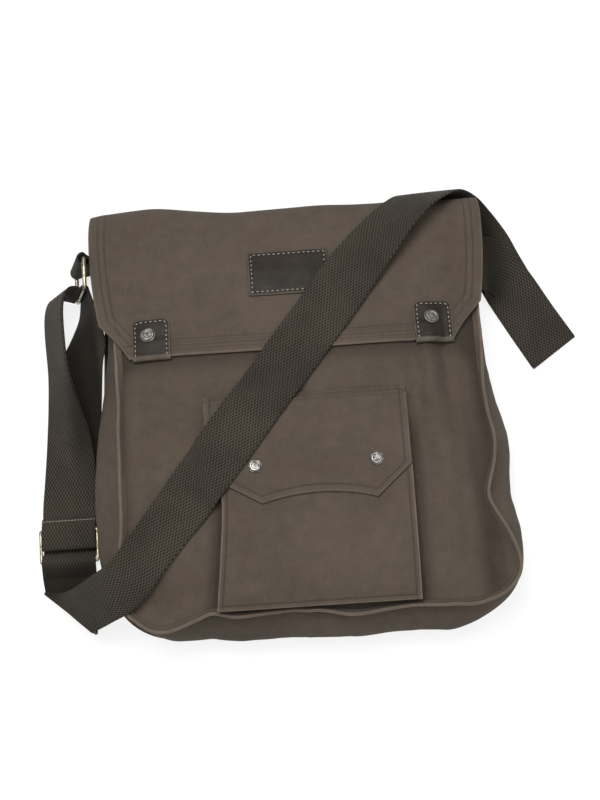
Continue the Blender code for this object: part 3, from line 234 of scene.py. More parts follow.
# Dents and bulges of the gusset: x and y shares, outward share of DEPTH, reach share
GUSSET_DENTS = (
    (-1.00, 0.92, 0.24, 0.07),
    (-1.00, 0.10, -0.04, 0.10),
    (-1.00, -0.22, 0.03, 0.14),
    (-0.85, -0.92, -0.25, 0.24),
    (-0.42, -1.00, -0.02, 0.12),
    (0.05, -1.00, 0.04, 0.16),
    (0.38, -1.00, 0.03, 0.12),
    (0.64, -1.00, 0.06, 0.16),
    (0.88, -0.95, -0.06, 0.20),
    (0.98, 0.12, -0.04, 0.09),
    (1.00, -0.12, 0.03, 0.09),
    (1.00, -0.34, -0.03, 0.09),
    (1.00, -0.62, 0.04, 0.14),
)

# Place up the side, and how far the left and the right seam lean up from level, in degrees
WELT_LEAN = (
    (-1.0, 52.0, 58.0), (-0.75, 38.0, 48.0), (-0.4, 44.0, 66.0), (0.1, 62.0, 68.0),
    (0.26, 34.0, 46.0), (0.5, 12.0, 12.0), (1.0, 8.0, 8.0),
)

# Waves of the flap's roll: x share, height share, width share
ROLL_WAVES = (
    (-0.90, 0.14, 0.30), (-0.64, 0.40, 0.26), (-0.35, -0.05, 0.25),
    (0.12, 0.08, 0.22), (0.38, -0.06, 0.14), (0.85, -0.12, 0.25),
)

# Round a pinched seam of two plies: shares of its width and of half its thickness, length to its edge
WELT_PROFILE = (
    (0.0, -0.85, 0.0045), (0.45, -0.72, 0.0030), (0.86, -1.0, 0.0008), (0.97, -0.92, 0.0004),
    (1.0, -0.55, 0.0002), (0.95, -0.15, 0.0012), (0.86, 0.0, 0.0030), (0.95, 0.15, 0.0012),
    (1.0, 0.55, 0.0002), (0.97, 0.92, 0.0004), (0.86, 1.0, 0.0008), (0.45, 0.72, 0.0030),
    (0.0, 0.85, 0.0045),
)

# A stud from its foot to the middle of its dimple: shares of its radius and of its height
CAP_PROFILE = (
    (0.97, 0.0), (1.0, 0.10), (1.0, 0.32), (0.95, 0.42), (0.90, 0.40), (0.87, 0.52), (0.84, 0.76),
    (0.76, 0.95), (0.66, 1.0), (0.58, 0.98), (0.52, 0.88), (0.46, 0.78), (0.40, 0.76), (0.30, 0.80),
    (0.16, 0.84), (0.04, 0.85),
)

# The strap's route, as in the solid model: x, y and height shares and a tilt in degrees, or on the
# front run x and y shares, a turn in degrees, a share of the width and a rise of one edge
LEFT_OUT = (
    (-1.117, -0.375, 0.137, 0.0), (-1.119, -0.427, 0.172, 0.0), (-1.121, -0.505, 0.170, 0.0),
)
LEFT_UP = (
    (-1.121, -0.505, 0.088, 0.0), (-1.115, -0.400, 0.086, 0.0), (-1.109, -0.285, 0.105, 3.0),
    (-1.100, -0.113, 0.145, 16.0), (-1.101, 0.037, 0.235, 32.0), (-1.115, 0.174, 0.320, 49.0),
    (-1.130, 0.333, 0.360, 60.0), (-1.141, 0.530, 0.372, 61.0), (-1.136, 0.640, 0.375, 61.0),
    (-1.108, 0.698, 0.385, 61.0), (-1.058, 0.700, 0.410, 66.0),
)
LEFT_DOWN = (
    (-0.978, 0.600, 0.375, 65.0), (-0.984, 0.520, 0.315, 50.0), (-1.004, 0.435, 0.220, 32.0),
    (-1.041, 0.345, 0.135, 19.0), (-1.072, 0.125, 0.050, 4.0), (-1.100, -0.156, 0.024, 0.0),
    (-1.118, -0.330, 0.020, 0.0), (-1.121, -0.525, 0.022, 0.0), (-1.122, -0.545, 0.095, 0.0),
    (-1.123, -0.567, 0.168, 0.0), (-1.124, -0.586, 0.174, 0.0), (-1.126, -0.614, 0.115, 0.0),
    (-1.129, -0.652, 0.022, 0.0),
)
LEFT_CREASE = (-1.128, -0.818, -41.0, 1.25)
FRONT_RUN = (
    (-1.030, -0.810, -41.0, 1.05, 0.0), (-0.910, -0.762, -45.0, 1.00, 0.0),
    (-0.808, -0.700, -44.0, 0.90, 0.0), (-0.728, -0.608, -40.0, 0.88, 0.0),
    (-0.615, -0.478, -39.0, 0.92, 0.0), (-0.375, -0.190, -36.5, 0.98, 0.0),
    (-0.088, 0.175, -37.0, 0.98, 0.0), (0.165, 0.497, -37.0, 1.00, 0.0),
    (0.305, 0.682, -36.0, 0.99, 0.05), (0.450, 0.853, -35.0, 0.88, 0.25),
    (0.525, 0.930, -32.0, 0.80, 0.40), (0.600, 1.000, -31.0, 0.80, 0.42),
    (0.690, 1.088, -34.0, 0.90, 0.30), (0.795, 1.215, -37.0, 1.00, 0.10),
    (0.882, 1.310, -38.0, 1.00, 0.0), (0.972, 1.430, -35.0, 1.00, 0.0),
    (1.030, 1.560, -32.0, 1.00, 0.0), (1.076, 1.660, -30.6, 1.00, 0.0),
)
RIGHT_OUT = ((1.165, 0.450, 0.020, 31.0, 1.00),)
RIGHT_CREASE = (1.258, 0.288, 34.5, 1.02)
RIGHT_BACK = (
    (1.165, 0.450, 0.062, 31.0, 1.00), (1.083, 0.592, 0.100, 31.0, 1.00),
    (1.030, 0.668, 0.195, 52.0, 1.02), (0.985, 0.708, 0.310, 70.0, 1.04),
    (0.938, 0.720, 0.415, 84.0, 1.01),
)
RIGHT_END = (
    (0.932, 0.722, 0.330, 90.0, 1.0), (0.972, 0.712, 0.240, 86.0, 1.0), (1.012, 0.698, 0.150, 82.0, 1.0),
)

# The rings: x, y and height shares, and the tilt in degrees
LEFT_RING = (-1.001, 0.758, 0.430, 74.0)
RIGHT_RING = (0.843, 0.7225, 0.290, 90.0)

# The camera: where it stands from the foot of the bag, and where its aim lands in the picture
VIEW_RISE = math.radians(80.0)
VIEW_ROLL = math.radians(3.8)
VIEW_DISTANCE = 1.35
VIEW_AIM = Vector((0.0, 0.0, 0.04))
PICTURE_WIDTH, PICTURE_HEIGHT = 600, 800
AIM_ACROSS, AIM_DOWN = 298, 420
FOCAL_PIXELS = 1437.9
SENSOR_HEIGHT = 24.0

# The studio: the floor, and each lamp's place and width
FLOOR_HALF = 6.0
FLOOR_ROUGHNESS = 0.9
FLOOR_GLOW = 0.80
LAMP_AIM = Vector((0, 0, 0.03))
KEY_SPOT, KEY_WIDTH = Vector((-0.35, 0.60, 2.1)), 1.1
FILL_SPOT, FILL_WIDTH = Vector((0.7, -0.8, 1.8)), 1.8

# What the operators leave for those after them: pieces by name, grids and search trees
made = {}


def table(rows, place, column=1):
    """Read a column of a table at a place, along a smooth line through its rows."""
    places = [row[0] for row in rows]
    if place <= places[0]:
        return rows[0][column]
    if place >= places[-1]:
        return rows[-1][column]
    after = next(k for k, p in enumerate(places) if p > place)
    before = after - 1
    span = places[after] - places[before]
    share = (place - places[before]) / span
    start, end = rows[before][column], rows[after][column]
    slopes = []
    for k in (before, after):
        low, high = max(k - 1, 0), min(k + 1, len(rows) - 1)
        slopes.append((rows[high][column] - rows[low][column]) / (places[high] - places[low]) * span)
    bend = share * share * (3 - 2 * share)
    return (
        start + (end - start) * bend
        + slopes[0] * (share ** 3 - 2 * share ** 2 + share) + slopes[1] * (share ** 3 - share ** 2)
    )


def smooth_step(value):
    """From 0 to 1 with a soft start and end."""
    value = min(max(value, 0.0), 1.0)
    return value * value * (3 - 2 * value)


def hump(away, reach):
    """1 at no distance, and falling softly to nothing within about twice the reach."""
    return math.exp(-((away / reach) ** 2))


def soft_noise(x, y, z, reach):
    """A smooth random value about zero that changes over the given length."""
    return noise.noise(Vector((x, y, z)) / reach)


def way_up(y):
    """Share of the way from the front's bottom seam to the mouth."""
    return min(max((y - FRONT_BOTTOM_Y) / (MOUTH_Y - FRONT_BOTTOM_Y), 0.0), 1.0)


def bump(x, y, row, reach):
    away = math.hypot(x - row[0] * HALF_SPAN, y - row[1] * HALF_RISE)
    return hump(away, reach * HALF_SPAN)


def seam_wave(x, y, column):
    """How far the waves move the front seam, outward or down."""
    return sum(row[column] * DEPTH * bump(x, y, row, row[4]) for row in SEAM_WAVES)


def seam_height(x, y):
    return table(SEAM_HEIGHTS, way_up(y)) * DEPTH - seam_wave(x, y, 3)


def front_folds(x, y):
    """Height that the loose folds of the front add or take."""
    total = 0.0
    for middle_x, middle_y, angle, half_length, half_width, height in FRONT_FOLDS:
        dx = x - middle_x * HALF_SPAN
        dy = y - middle_y * HALF_RISE
        turn = math.radians(angle)
        along = dx * math.cos(turn) + dy * math.sin(turn)
        across = -dx * math.sin(turn) + dy * math.cos(turn)
        fade = (along / (half_length * HALF_SPAN)) ** 2 + (across / (half_width * HALF_SPAN)) ** 2
        total += height * PUFF * math.exp(-fade)
    return total


def puff(x, y):
    """How far the front swells above its seam."""
    side = min(abs(x) / (FRONT_WIDTH / 2), 1.0)
    dome = (1 - side ** 5) * (0.86 + 0.14 * (1 - side ** 2))
    return PUFF * dome * table(PUFF_SHARES, way_up(y))


def rumple(x, y):
    """Small unevenness of washed canvas."""
    return 0.0009 * soft_noise(x, y, 0.3, 0.034) + 0.0004 * soft_noise(x, y, 0.7, 0.013)


def front_height(x, y):
    """Height of the front panel's outer face."""
    side = min(abs(x) / (FRONT_WIDTH / 2), 1.0)
    return seam_height(x, y) + puff(x, y) + front_folds(x, y) + rumple(x, y) * (1 - side ** 4)


def flap_height(x, y):
    """Height of the flap's outer face, over the panel, over the welts and drooping past them."""
    edge = FRONT_WIDTH / 2
    past = max(0.0, (abs(x) - edge - 0.004) / (FLAP_HALF - edge))
    held_up = FLAP_OVER_WELT * smooth_step((abs(x) / edge - 0.55) / 0.45)
    body = (puff(x, y) ** 3 + held_up ** 3) ** (1 / 3)
    top = seam_height(x, y) + body + front_folds(x, y) - FLAP_DROOP * past ** 2
    return top + CLEAR * 2 + CANVAS + rumple(x + 0.4, y)


def pocket_share(y):
    return min(max((y - POCKET_LOW_Y) / (POCKET_TOP_Y - POCKET_LOW_Y), 0.0), 1.0)


def pocket_x(place, y):
    """Where a place across the pocket lies: the left side leans in above its lower corner."""
    share = max(0.0, -place / (POCKET_WIDTH / 2))
    return POCKET_X + place + table(POCKET_LEAN, pocket_share(y)) * share


def pocket_edge(x, y):
    """How far a place on the pocket's face lies from its side or bottom edge."""
    half = POCKET_WIDTH / 2
    return min(x - pocket_x(-half, y), POCKET_X + half - x, y - POCKET_LOW_Y)


def front_painted_shade(x, y):
    """How much painted shade darkens the front: beside the pocket, under the flap's edge and along the side
    seams.
    """
    beside = hump(min(pocket_edge(x, y), 0.0), SHADE_BY_POCKET)
    beside *= smooth_step((POCKET_TOP_Y - y) / 0.04)
    below = hump(y - FLAP_LOW_Y, SHADE_BY_FLAP)
    seam = hump(FRONT_WIDTH / 2 - abs(x), SHADE_BY_SEAM)
    return min(1.0, 0.85 * beside + 0.75 * below + 0.8 * seam)


def pocket_height(x, y):
    """Height of the pocket's outer face."""
    proud = POCKET_PROUD + (POCKET_MOUTH_PROUD - POCKET_PROUD) * pocket_share(y)
    return front_height(x, y) + proud + 0.6 * rumple(x - 0.3, y)


def lift(x, y):
    """Rise of the mouth's right corner, which lies on the strap."""
    along = math.cos(LIFT_TURN) * x + math.sin(LIFT_TURN) * y
    return MOUTH_LIFT * smooth_step((along - LIFT_START * HALF_SPAN) / (LIFT_REACH * HALF_SPAN))


def raised(point):
    return Vector((point[0], point[1], point[2] + lift(point[0], point[1])))


def mesh_object(name, points, faces, finish, maps=None, marks=None, sharp=35):
    """Make a closed mesh object in place, its faces outward, with a cloth map and named values."""
    volume = 0.0
    for face in faces:
        first = points[face[0]]
        for k in range(1, len(face) - 1):
            volume += first.dot(points[face[k]].cross(points[face[k + 1]]))
    if volume < 0:
        faces = [tuple(reversed(face)) for face in faces]
    mesh = bpy.data.meshes.new(name)
    mesh.from_pydata([tuple(p) for p in points], [], faces)
    mesh.update()
    mesh.shade_smooth()
    mesh.set_sharp_from_angle(angle=math.radians(sharp))
    mesh.materials.append(finish)
    if maps is not None:
        layer = mesh.uv_layers.new(name="cloth")
        corners = np.zeros(len(mesh.loops), int)
        mesh.loops.foreach_get("vertex_index", corners)
        layer.data.foreach_set("uv", np.asarray(maps, float)[corners].reshape(-1))
    for key, values in (marks or {}).items():
        layer = mesh.attributes.new(key, "FLOAT", "POINT")
        layer.data.foreach_set("value", np.asarray(values, float))
    thing = bpy.data.objects.new(name, mesh)
    bpy.context.scene.collection.objects.link(thing)
    return thing


def stands_for(piece, slot, *nodes):
    """Let a piece ride on the bag and take the place of solid nodes. The slot is not used."""
    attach(piece, "root")
    for node in nodes:
        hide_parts(node)
    made[piece.name] = piece


def cloth_map(array, straight=False):
    """Lengths along the rows and the columns of a grid, for a weave that follows the cloth."""
    across = np.linalg.norm(np.diff(array, axis=1), axis=2)
    up = np.linalg.norm(np.diff(array, axis=0), axis=2)
    u = np.concatenate([np.zeros((array.shape[0], 1)), np.cumsum(across, axis=1)], axis=1)
    v = np.concatenate([np.zeros((1, array.shape[1])), np.cumsum(up, axis=0)], axis=0)
    if straight:
        v[:] = v.mean(axis=1, keepdims=True)
    u -= u[:, [array.shape[1] // 2]]
    return np.stack([u, v], axis=2)


def grid_normals(grid):
    """A grid as an array, and the unit normal at each of its points."""
    array = np.array([[tuple(p) for p in row] for row in grid])
    along = np.gradient(array, axis=1)
    up = np.gradient(array, axis=0)
    normals = np.cross(along, up)
    lengths = np.linalg.norm(normals, axis=2, keepdims=True)
    return array, normals / np.maximum(lengths, 1e-12)


def sheet(name, grid, thickness, finish, outer_share=0.0, level_rims=False, marks=None, straight=False):
    """A closed sheet with softly rounded rims: its outer face is the grid, raised by a share of it."""
    array, normals = grid_normals(grid)
    if level_rims:
        for row in (0, -1):
            normals[row, :, 2] = 0
            normals[row] /= np.linalg.norm(normals[row], axis=1, keepdims=True)
    outer = array + normals * thickness * outer_share
    inner = array - normals * thickness * (1 - outer_share)
    rows, columns = array.shape[:2]
    places = cloth_map(array, straight)
    rim = [(0, j) for j in range(columns)]
    rim += [(i, columns - 1) for i in range(1, rows)]
    rim += [(rows - 1, j) for j in range(columns - 2, -1, -1)]
    rim += [(i, 0) for i in range(rows - 2, 0, -1)]
    middle = (outer + inner) / 2
    rim_points, rim_maps = [], []
    for i, j in rim:
        beside = (min(max(i, 1), rows - 2), min(max(j, 1), columns - 2))
        away = middle[i, j] - middle[beside]
        size = np.linalg.norm(away)
        rim_points.append(middle[i, j] + away / max(size, 1e-9) * thickness * 0.32)
        rim_maps.append(places[i, j])
    points = [Vector(p) for p in outer.reshape(-1, 3)] + [Vector(p) for p in inner.reshape(-1, 3)]
    back = rows * columns
    edge = 2 * back
    points += [Vector(p) for p in rim_points]
    faces = []
    for i in range(rows - 1):
        for j in range(columns - 1):
            a = i * columns + j
            quad = (a, a + 1, a + columns + 1, a + columns)
            faces.append(quad)
            faces.append(tuple(reversed([back + k for k in quad])))
    flat = [i * columns + j for i, j in rim]
    for k, a in enumerate(flat):
        n = (k + 1) % len(flat)
        b = flat[n]
        faces.append((b, a, edge + k, edge + n))
        faces.append((edge + n, edge + k, back + a, back + b))
    maps = np.concatenate([places.reshape(-1, 2), places.reshape(-1, 2), np.array(rim_maps)])
    values = {}
    for key, mark in (marks or {}).items():
        one = np.asarray(mark, float).reshape(-1)
        values[key] = np.concatenate([one, one, one[flat]])
    return mesh_object(name, points, faces, finish, maps, values, sharp=60)


def sweep(name, sections, finish, closed=False, sharp=40, marks=None):
    """Join a row of equal rings of points into one closed body."""
    size = len(sections[0])
    points = [Vector(p) for section in sections for p in section]
    faces = []
    count = len(sections)
    for k in range(count if closed else count - 1):
        here, there = k * size, ((k + 1) % count) * size
        for j in range(size):
            n = (j + 1) % size
            faces.append((here + j, here + n, there + n, there + j))
    if not closed:
        faces.append(tuple(reversed(range(size))))
        faces.append(tuple(range((count - 1) * size, count * size)))
    travel = np.concatenate([[0.0], np.cumsum([
        (sections[k + 1][0] - sections[k][0]).length for k in range(count - 1)])])
    round_it = np.concatenate([[0.0], np.cumsum([
        (sections[0][j + 1] - sections[0][j]).length for j in range(size - 1)])])
    maps = [(round_it[j], travel[k]) for k in range(count) for j in range(size)]
    return mesh_object(name, points, faces, finish, maps, marks, sharp)


def spread(count, ease):
    """Places from -1 to 1, closer together towards both ends."""
    steps = [2 * k / count - 1 for k in range(count + 1)]
    return [ease * math.sin(math.pi / 2 * t) + (1 - ease) * t for t in steps]


def panel_grid(width, bottom, corner, waves, height):
    """Rows from the bottom seam up to the mouth, each of points from left to right."""
    grid = []
    half = width / 2
    for i in range(PANEL_ROWS + 1):
        share = i / PANEL_ROWS
        row = []
        for place in spread(PANEL_COLUMNS, 1.0):
            x = place * half
            into = max(0.0, abs(x) - (half - corner))
            low = bottom + corner - math.sqrt(max(corner ** 2 - into ** 2, 0.0))
            y = low + (MOUTH_Y - CLEAR - low) * share
            wave = waves(x, y)
            out_x = wave * smooth_step((abs(place) - 0.6) / 0.4)
            out_y = wave * (1 - share) ** 4 * smooth_step((1.02 - abs(place)) / 0.3)
            x += out_x if place > 0 else -out_x
            y -= out_y
            row.append(Vector((x, y, height(x, y))))
        grid.append(row)
    return grid


def u_loop(grid):
    """The panel's seam, from the mouth's left end round the bottom to its right end."""
    left = [row[0] for row in reversed(grid)]
    right = [row[-1] for row in grid]
    return left[:-1] + grid[0] + right[1:]


def outward(loop):
    """Level unit directions that point out of a U-shaped seam."""
    array = np.array([tuple(p) for p in loop])
    along = np.gradient(array, axis=0)
    out = np.stack([along[:, 1], -along[:, 0], np.zeros(len(loop))], axis=1)
    out /= np.linalg.norm(out, axis=1, keepdims=True)
    for _ in range(8):
        out[1:-1] = (out[:-2] + 2 * out[1:-1] + out[2:]) / 4
        out /= np.linalg.norm(out, axis=1, keepdims=True)
    return [Vector(o) for o in out]


def back_outline_wave(x, y):
    """How far the back's side seams come in towards the mouth, on both sides alike."""
    return -BACK_TAPER * smooth_step((y + MOUTH_Y / 4) / (MOUTH_Y * 1.25))


def gusset_columns(front_loop, back_loop):
    """Points of the gusset's outer face from the back seam to the front seam, for each station."""
    outs = outward(front_loop)
    columns = []
    for front, back, out in zip(front_loop, back_loop, outs):
        low = Vector((back.x, back.y, CANVAS + CLEAR))
        high = Vector((front.x, front.y, front.z - 1.35 * CANVAS - CLEAR))
        side = 2 if front.x > 0 else 1
        y_share = front.y / HALF_RISE
        sideways = abs(out.x) ** 1.5
        bulge = table(SIDE_BULGE, y_share, side) * sideways + BOTTOM_BULGE * (1 - sideways)
        for row in GUSSET_DENTS:
            bulge += row[2] * bump(front.x, front.y, row, row[3])
        tuck = table(TUCK, y_share) if front.x > 0 else 0.0
        column = []
        for k in range(GUSSET_LEVELS + 1):
            w = k / GUSSET_LEVELS
            swell = bulge * math.sin(math.pi * w) - tuck * math.sin(math.pi * w) ** 2
            fold = soft_noise(front.x + front.y, w * 0.02, 0.5, 0.030) * 0.0016
            fold += soft_noise(front.x - front.y, w * 0.05, 0.9, 0.011) * 0.0005
            out_by = swell * DEPTH + fold * math.sin(math.pi * w)
            column.append(low.lerp(high, w) + out * out_by)
        columns.append(column)
    return columns


def welt_section(root, out, lean, seat, width=WELT_WIDTH):
    """Points round a pinched seam of two plies that stands from its root."""
    away = out * math.cos(lean) + Vector((0, 0, math.sin(lean)))
    over = Vector((0, 0, math.cos(lean))) - out * math.sin(lean)
    half = WELT_THICK / 2
    start = root + away * seat
    return [start + away * (width * far) + over * (half * up) for far, up, _ in WELT_PROFILE]


def flap_low_edge(x):
    """The flap's lower edge, with both corners cut off."""
    corner = max(0.0, (abs(x) - (FLAP_HALF - FLAP_CHAMFER_X)) / FLAP_CHAMFER_X)
    return FLAP_LOW_Y + FLAP_BOW * (x / FLAP_HALF) ** 2 + corner * FLAP_CHAMFER_Y


def flap_x(place, y):
    """Where a place across the flap lies: its sides come in below the mouth, toward the chamfers."""
    near = max(0.0, abs(place) * FLAP_HALF - FLAP_HALF + FLAP_CHAMFER_X) / FLAP_CHAMFER_X
    inward = FLAP_TAPER * max(0.0, (MOUTH_Y - y) / (MOUTH_Y - FLAP_LOW_Y)) ** 2 * near
    return FLAP_X + place * FLAP_HALF - math.copysign(inward, place)


def roll_reach(x):
    """How far the flap's roll stands past the mouth."""
    share = 1 + sum(row[1] * hump(x / HALF_SPAN - row[0], row[2]) for row in ROLL_WAVES)
    return FLAP_ROLL * share


def grid_tree(*grids):
    """One search tree over the outer faces of some grids."""
    points, faces = [], []
    for grid in grids:
        columns = len(grid[0])
        start = len(points)
        points += [Vector(p) for row in grid for p in row]
        for i in range(len(grid) - 1):
            for j in range(columns - 1):
                a = start + i * columns + j
                faces.append((a, a + 1, a + columns + 1, a + columns))
    return BVHTree.FromPolygons(points, faces)


def top_of(tree, x, y, reach=0.0):
    """The highest face under a small square round a place, or None where there is none."""
    found = []
    for dx in (-reach, 0, reach) if reach else (0,):
        for dy in (-reach, 0, reach) if reach else (0,):
            hit = tree.ray_cast(Vector((x + dx, y + dy, DEPTH * 5)), Vector((0, 0, -1)))[0]
            if hit:
                found.append(hit.z)
    return max(found) if found else None


def flap_edge_distance(x, y):
    """How far a place on the flap lies from its cut edge."""
    corner_x = FLAP_HALF - FLAP_CHAMFER_X
    side_x = flap_x(1.0, y) - FLAP_X
    slant = math.atan2(FLAP_CHAMFER_Y, flap_x(1.0, FLAP_LOW_Y + FLAP_CHAMFER_Y) - FLAP_X - corner_x)
    across = abs(x - FLAP_X)
    low = y - (FLAP_LOW_Y + FLAP_BOW * (x / FLAP_HALF) ** 2)
    cut = (y - FLAP_LOW_Y - FLAP_BOW) * math.cos(slant) - (across - corner_x) * math.sin(slant)
    return min(side_x - across, low, cut)


def hem_rise(distance, width, rise):
    """Extra height of a turned hem, with a soft step at its inner edge."""
    return rise * (1 - smooth_step((distance - width) / 0.0016))


def flap_grid(panel):
    """Rows from the flap's lower edge up the front, over the roll and down to the back seam."""
    break_at = round((FLAP_HALF - FLAP_CHAMFER_X) / FLAP_HALF, 5)
    places = sorted({round(p, 5) for p in spread(FLAP_COLUMNS, 0.55)} | {-break_at, break_at})
    grid, edges = [], []
    for i in range(FLAP_FRONT_ROWS):
        row, marks = [], []
        for place in places:
            low = flap_low_edge(place * FLAP_HALF)
            y = low + (MOUTH_Y - low) * (i / (FLAP_FRONT_ROWS - 1)) ** 1.15
            x = flap_x(place, y)
            below = top_of(panel, x, y, SEAT_REACH)
            lowest = below + 2 * CLEAR + CANVAS if below else 0.0
            away = flap_edge_distance(x, y)
            top = max(flap_height(x, y), lowest) + hem_rise(away, FLAP_HEM, FLAP_HEM_RISE)
            row.append(Vector((x, y, top)))
            marks.append(away)
        grid.append(row)
        edges.append(marks)
    for i in range(1, FLAP_TURN_ROWS + 1):
        angle = math.pi * i / FLAP_TURN_ROWS
        row, marks = [], []
        for place in places:
            x = flap_x(place, MOUTH_Y)
            top = grid[FLAP_FRONT_ROWS - 1][len(row)].z
            wave = 0.0012 * soft_noise(x, i * 0.002, 0.1, 0.045)
            y = MOUTH_Y + (roll_reach(x) + wave) * math.sin(angle) + 3 * CLEAR * i / FLAP_TURN_ROWS
            x *= 1 - 0.02 * i / FLAP_TURN_ROWS
            row.append(Vector((x, y, top * (1 + math.cos(angle)) / 2)))
            marks.append(FLAP_HALF * (1 - abs(place)))
        grid.append(row)
        edges.append(marks)
    return grid, edges


def pocket_grid(panel):
    """Rows from the foot of the pocket's bottom wall up over its edge and to its mouth."""
    half = POCKET_WIDTH / 2

    inner = [0.955 * p for p in spread(POCKET_COLUMNS, 0.6)]
    wall_steps = (0.0, 0.25, 0.5, 0.75, 0.93, 1.0)

    def seat(x, y):
        return top_of(panel, x, y, SEAT_REACH) + 2 * CLEAR

    def face_top(x, y, share):
        """The face with its pinched edges: a low ridge that runs along them."""
        away = pocket_edge(x, y)
        ridge = 0.0011 * hump(away - 0.0022, 0.0024) - 0.0006 * hump(away - 0.0065, 0.003)
        return pocket_height(x, y) + ridge * share

    def line(y_top, y_foot, wall_share):
        """One row across: the wall from its foot to the edge, then the face of the pocket."""
        sides = []
        for sign in (-1, 1):
            x_foot = pocket_x(sign * (half - POCKET_INSET), y_foot)
            x_edge = pocket_x(sign * half, y_top)
            base = seat(x_foot, y_foot)
            rim = base + (face_top(x_edge, y_top, 0.4) - CANVAS / 3 - base) * wall_share
            wall = []
            for step in wall_steps:
                bulged = math.sin(math.pi * step) * 0.0012
                x = x_foot + (x_edge - x_foot) * step ** 0.8 + sign * bulged * (0.4 if step < 0.9 else 0)
                y = y_foot + (y_top - y_foot) * step
                wall.append(Vector((x, y, base + (rim - base) * step)))
            sides.append(wall)
        face = []
        y = y_foot + (y_top - y_foot) * wall_share
        for place in inner:
            x = pocket_x(place * half, y)
            base = seat(x, y_foot)
            top = face_top(x, y_top, 1.0)
            face.append(Vector((x, y, base + (top - base) * wall_share)))
        return sides[0] + face + list(reversed(sides[1]))

    grid = []
    low_foot = POCKET_LOW_Y + POCKET_UNDERCUT
    for share in (0.04, 0.3, 0.55, 0.78, 0.93):
        grid.append(line(POCKET_LOW_Y + (1 - share) * 0.0015, low_foot, share))
    for i in range(POCKET_ROWS + 1):
        y = POCKET_LOW_Y + 0.0006 + (POCKET_TOP_Y - POCKET_LOW_Y - 0.0006) * (i / POCKET_ROWS) ** 1.1
        grid.append(line(y, max(y, low_foot + 0.0005 * i), 1.0))
    edges = [[pocket_edge(p.x, p.y) for p in row] for row in grid]
    return grid, edges


def pocket_flap_low_edge(x):
    """Two points with an arch between them and slanted corners outside them."""
    place = x - POCKET_X
    half = POCKET_FLAP_WIDTH / 2
    left_tip, right_tip = (tip * half for tip in POCKET_FLAP_TIPS)
    if place < left_tip:
        share = (left_tip - place) / (half + left_tip)
        return POCKET_FLAP_TIP_Y + (POCKET_FLAP_SIDE_Y - POCKET_FLAP_TIP_Y) * share
    if place > right_tip:
        share = (place - right_tip) / (half - right_tip)
        return POCKET_FLAP_TIP_Y + (POCKET_FLAP_SIDE_Y - POCKET_FLAP_TIP_Y) * share
    share = (place - left_tip) / (right_tip - left_tip)
    return POCKET_FLAP_TIP_Y + POCKET_FLAP_ARCH * math.sin(math.pi * share) ** 0.8


def pocket_flap_grid(under):
    """Rows from the pocket flap's two points up to its top seam, laid on the pocket."""
    half = POCKET_FLAP_WIDTH / 2
    places = sorted({round(p, 5) for p in spread(POCKET_FLAP_COLUMNS, 0.5)} | set(POCKET_FLAP_TIPS))
    grid, edges = [], []
    for i in range(POCKET_FLAP_ROWS + 1):
        row, marks = [], []
        for place in places:
            x = POCKET_X + place * half
            low = pocket_flap_low_edge(x)
            y = low + (POCKET_FLAP_TOP_Y - low) * (i / POCKET_FLAP_ROWS) ** 1.1
            away = min(half - abs(x - POCKET_X), (y - low) * 0.92)
            sag = top_of(under, x, y, 0.0035)
            hem = hem_rise(away, POCKET_FLAP_HEM, POCKET_FLAP_HEM_RISE)
            row.append(Vector((x, y, sag + CLEAR + CANVAS + hem)))
            marks.append(away)
        grid.append(row)
        edges.append(marks)
    for _ in range(3):
        heights = np.array([[p.z for p in row] for row in grid])
        smoothed = heights.copy()
        smoothed[1:-1, 1:-1] = (
            heights[1:-1, 1:-1] * 2 + heights[:-2, 1:-1] + heights[2:, 1:-1]
            + heights[1:-1, :-2] + heights[1:-1, 2:]) / 6
        for row, line in zip(grid, np.maximum(heights, smoothed)):
            for p, z in zip(row, line):
                p.z = z
    return grid, edges


def leather_relief(away, rim):
    """Height of a leather face near its edge: a rounded rim, and the groove that its stitches press."""
    return 0.0004 * smooth_step((away - rim) / 0.002) - 0.0003 * hump(away - LEATHER_ROW, 0.0008)


def tab_grid(flap, middle):
    """A leather tab on the flap, round at its upper corners, with its foot rolled over the edge."""
    half = TAB_WIDTH / 2
    grid, edges = [], []
    body = [k / TAB_ROWS for k in range(TAB_ROWS + 1)]
    roll = [(-0.0034, 0.0030), (-0.0036, 0.0019), (-0.0031, 0.0009), (-0.0018, 0.0002)]
    for out_y, down in roll:
        row, marks = [], []
        for place in spread(TAB_COLUMNS, 0.6):
            x = middle + place * half
            low = flap_low_edge(x)
            z = top_of(flap, x, low + 0.002, 0.0015) + CLEAR + LEATHER
            row.append(Vector((x, low + out_y, z - down)))
            marks.append(0.0)
        grid.append(row)
        edges.append(marks)
    for share in body:
        row, marks = [], []
        for place in spread(TAB_COLUMNS, 0.6):
            x = middle + place * half
            low = flap_low_edge(x)
            into = max(0.0, abs(place) * half - (half - TAB_CORNER))
            top = TAB_TOP_Y - TAB_CORNER + math.sqrt(max(TAB_CORNER ** 2 - into ** 2, 0.0))
            y = low + 0.0004 + (top - low) * share
            z = top_of(flap, x, y + 0.001, 0.0025) + CLEAR + LEATHER
            away = min(half * (1 - abs(place)), top - y)
            row.append(Vector((x, y, z + leather_relief(away, 0.0005))))
            marks.append(min(away, y - low))
        grid.append(row)
        edges.append(marks)
    return grid, edges


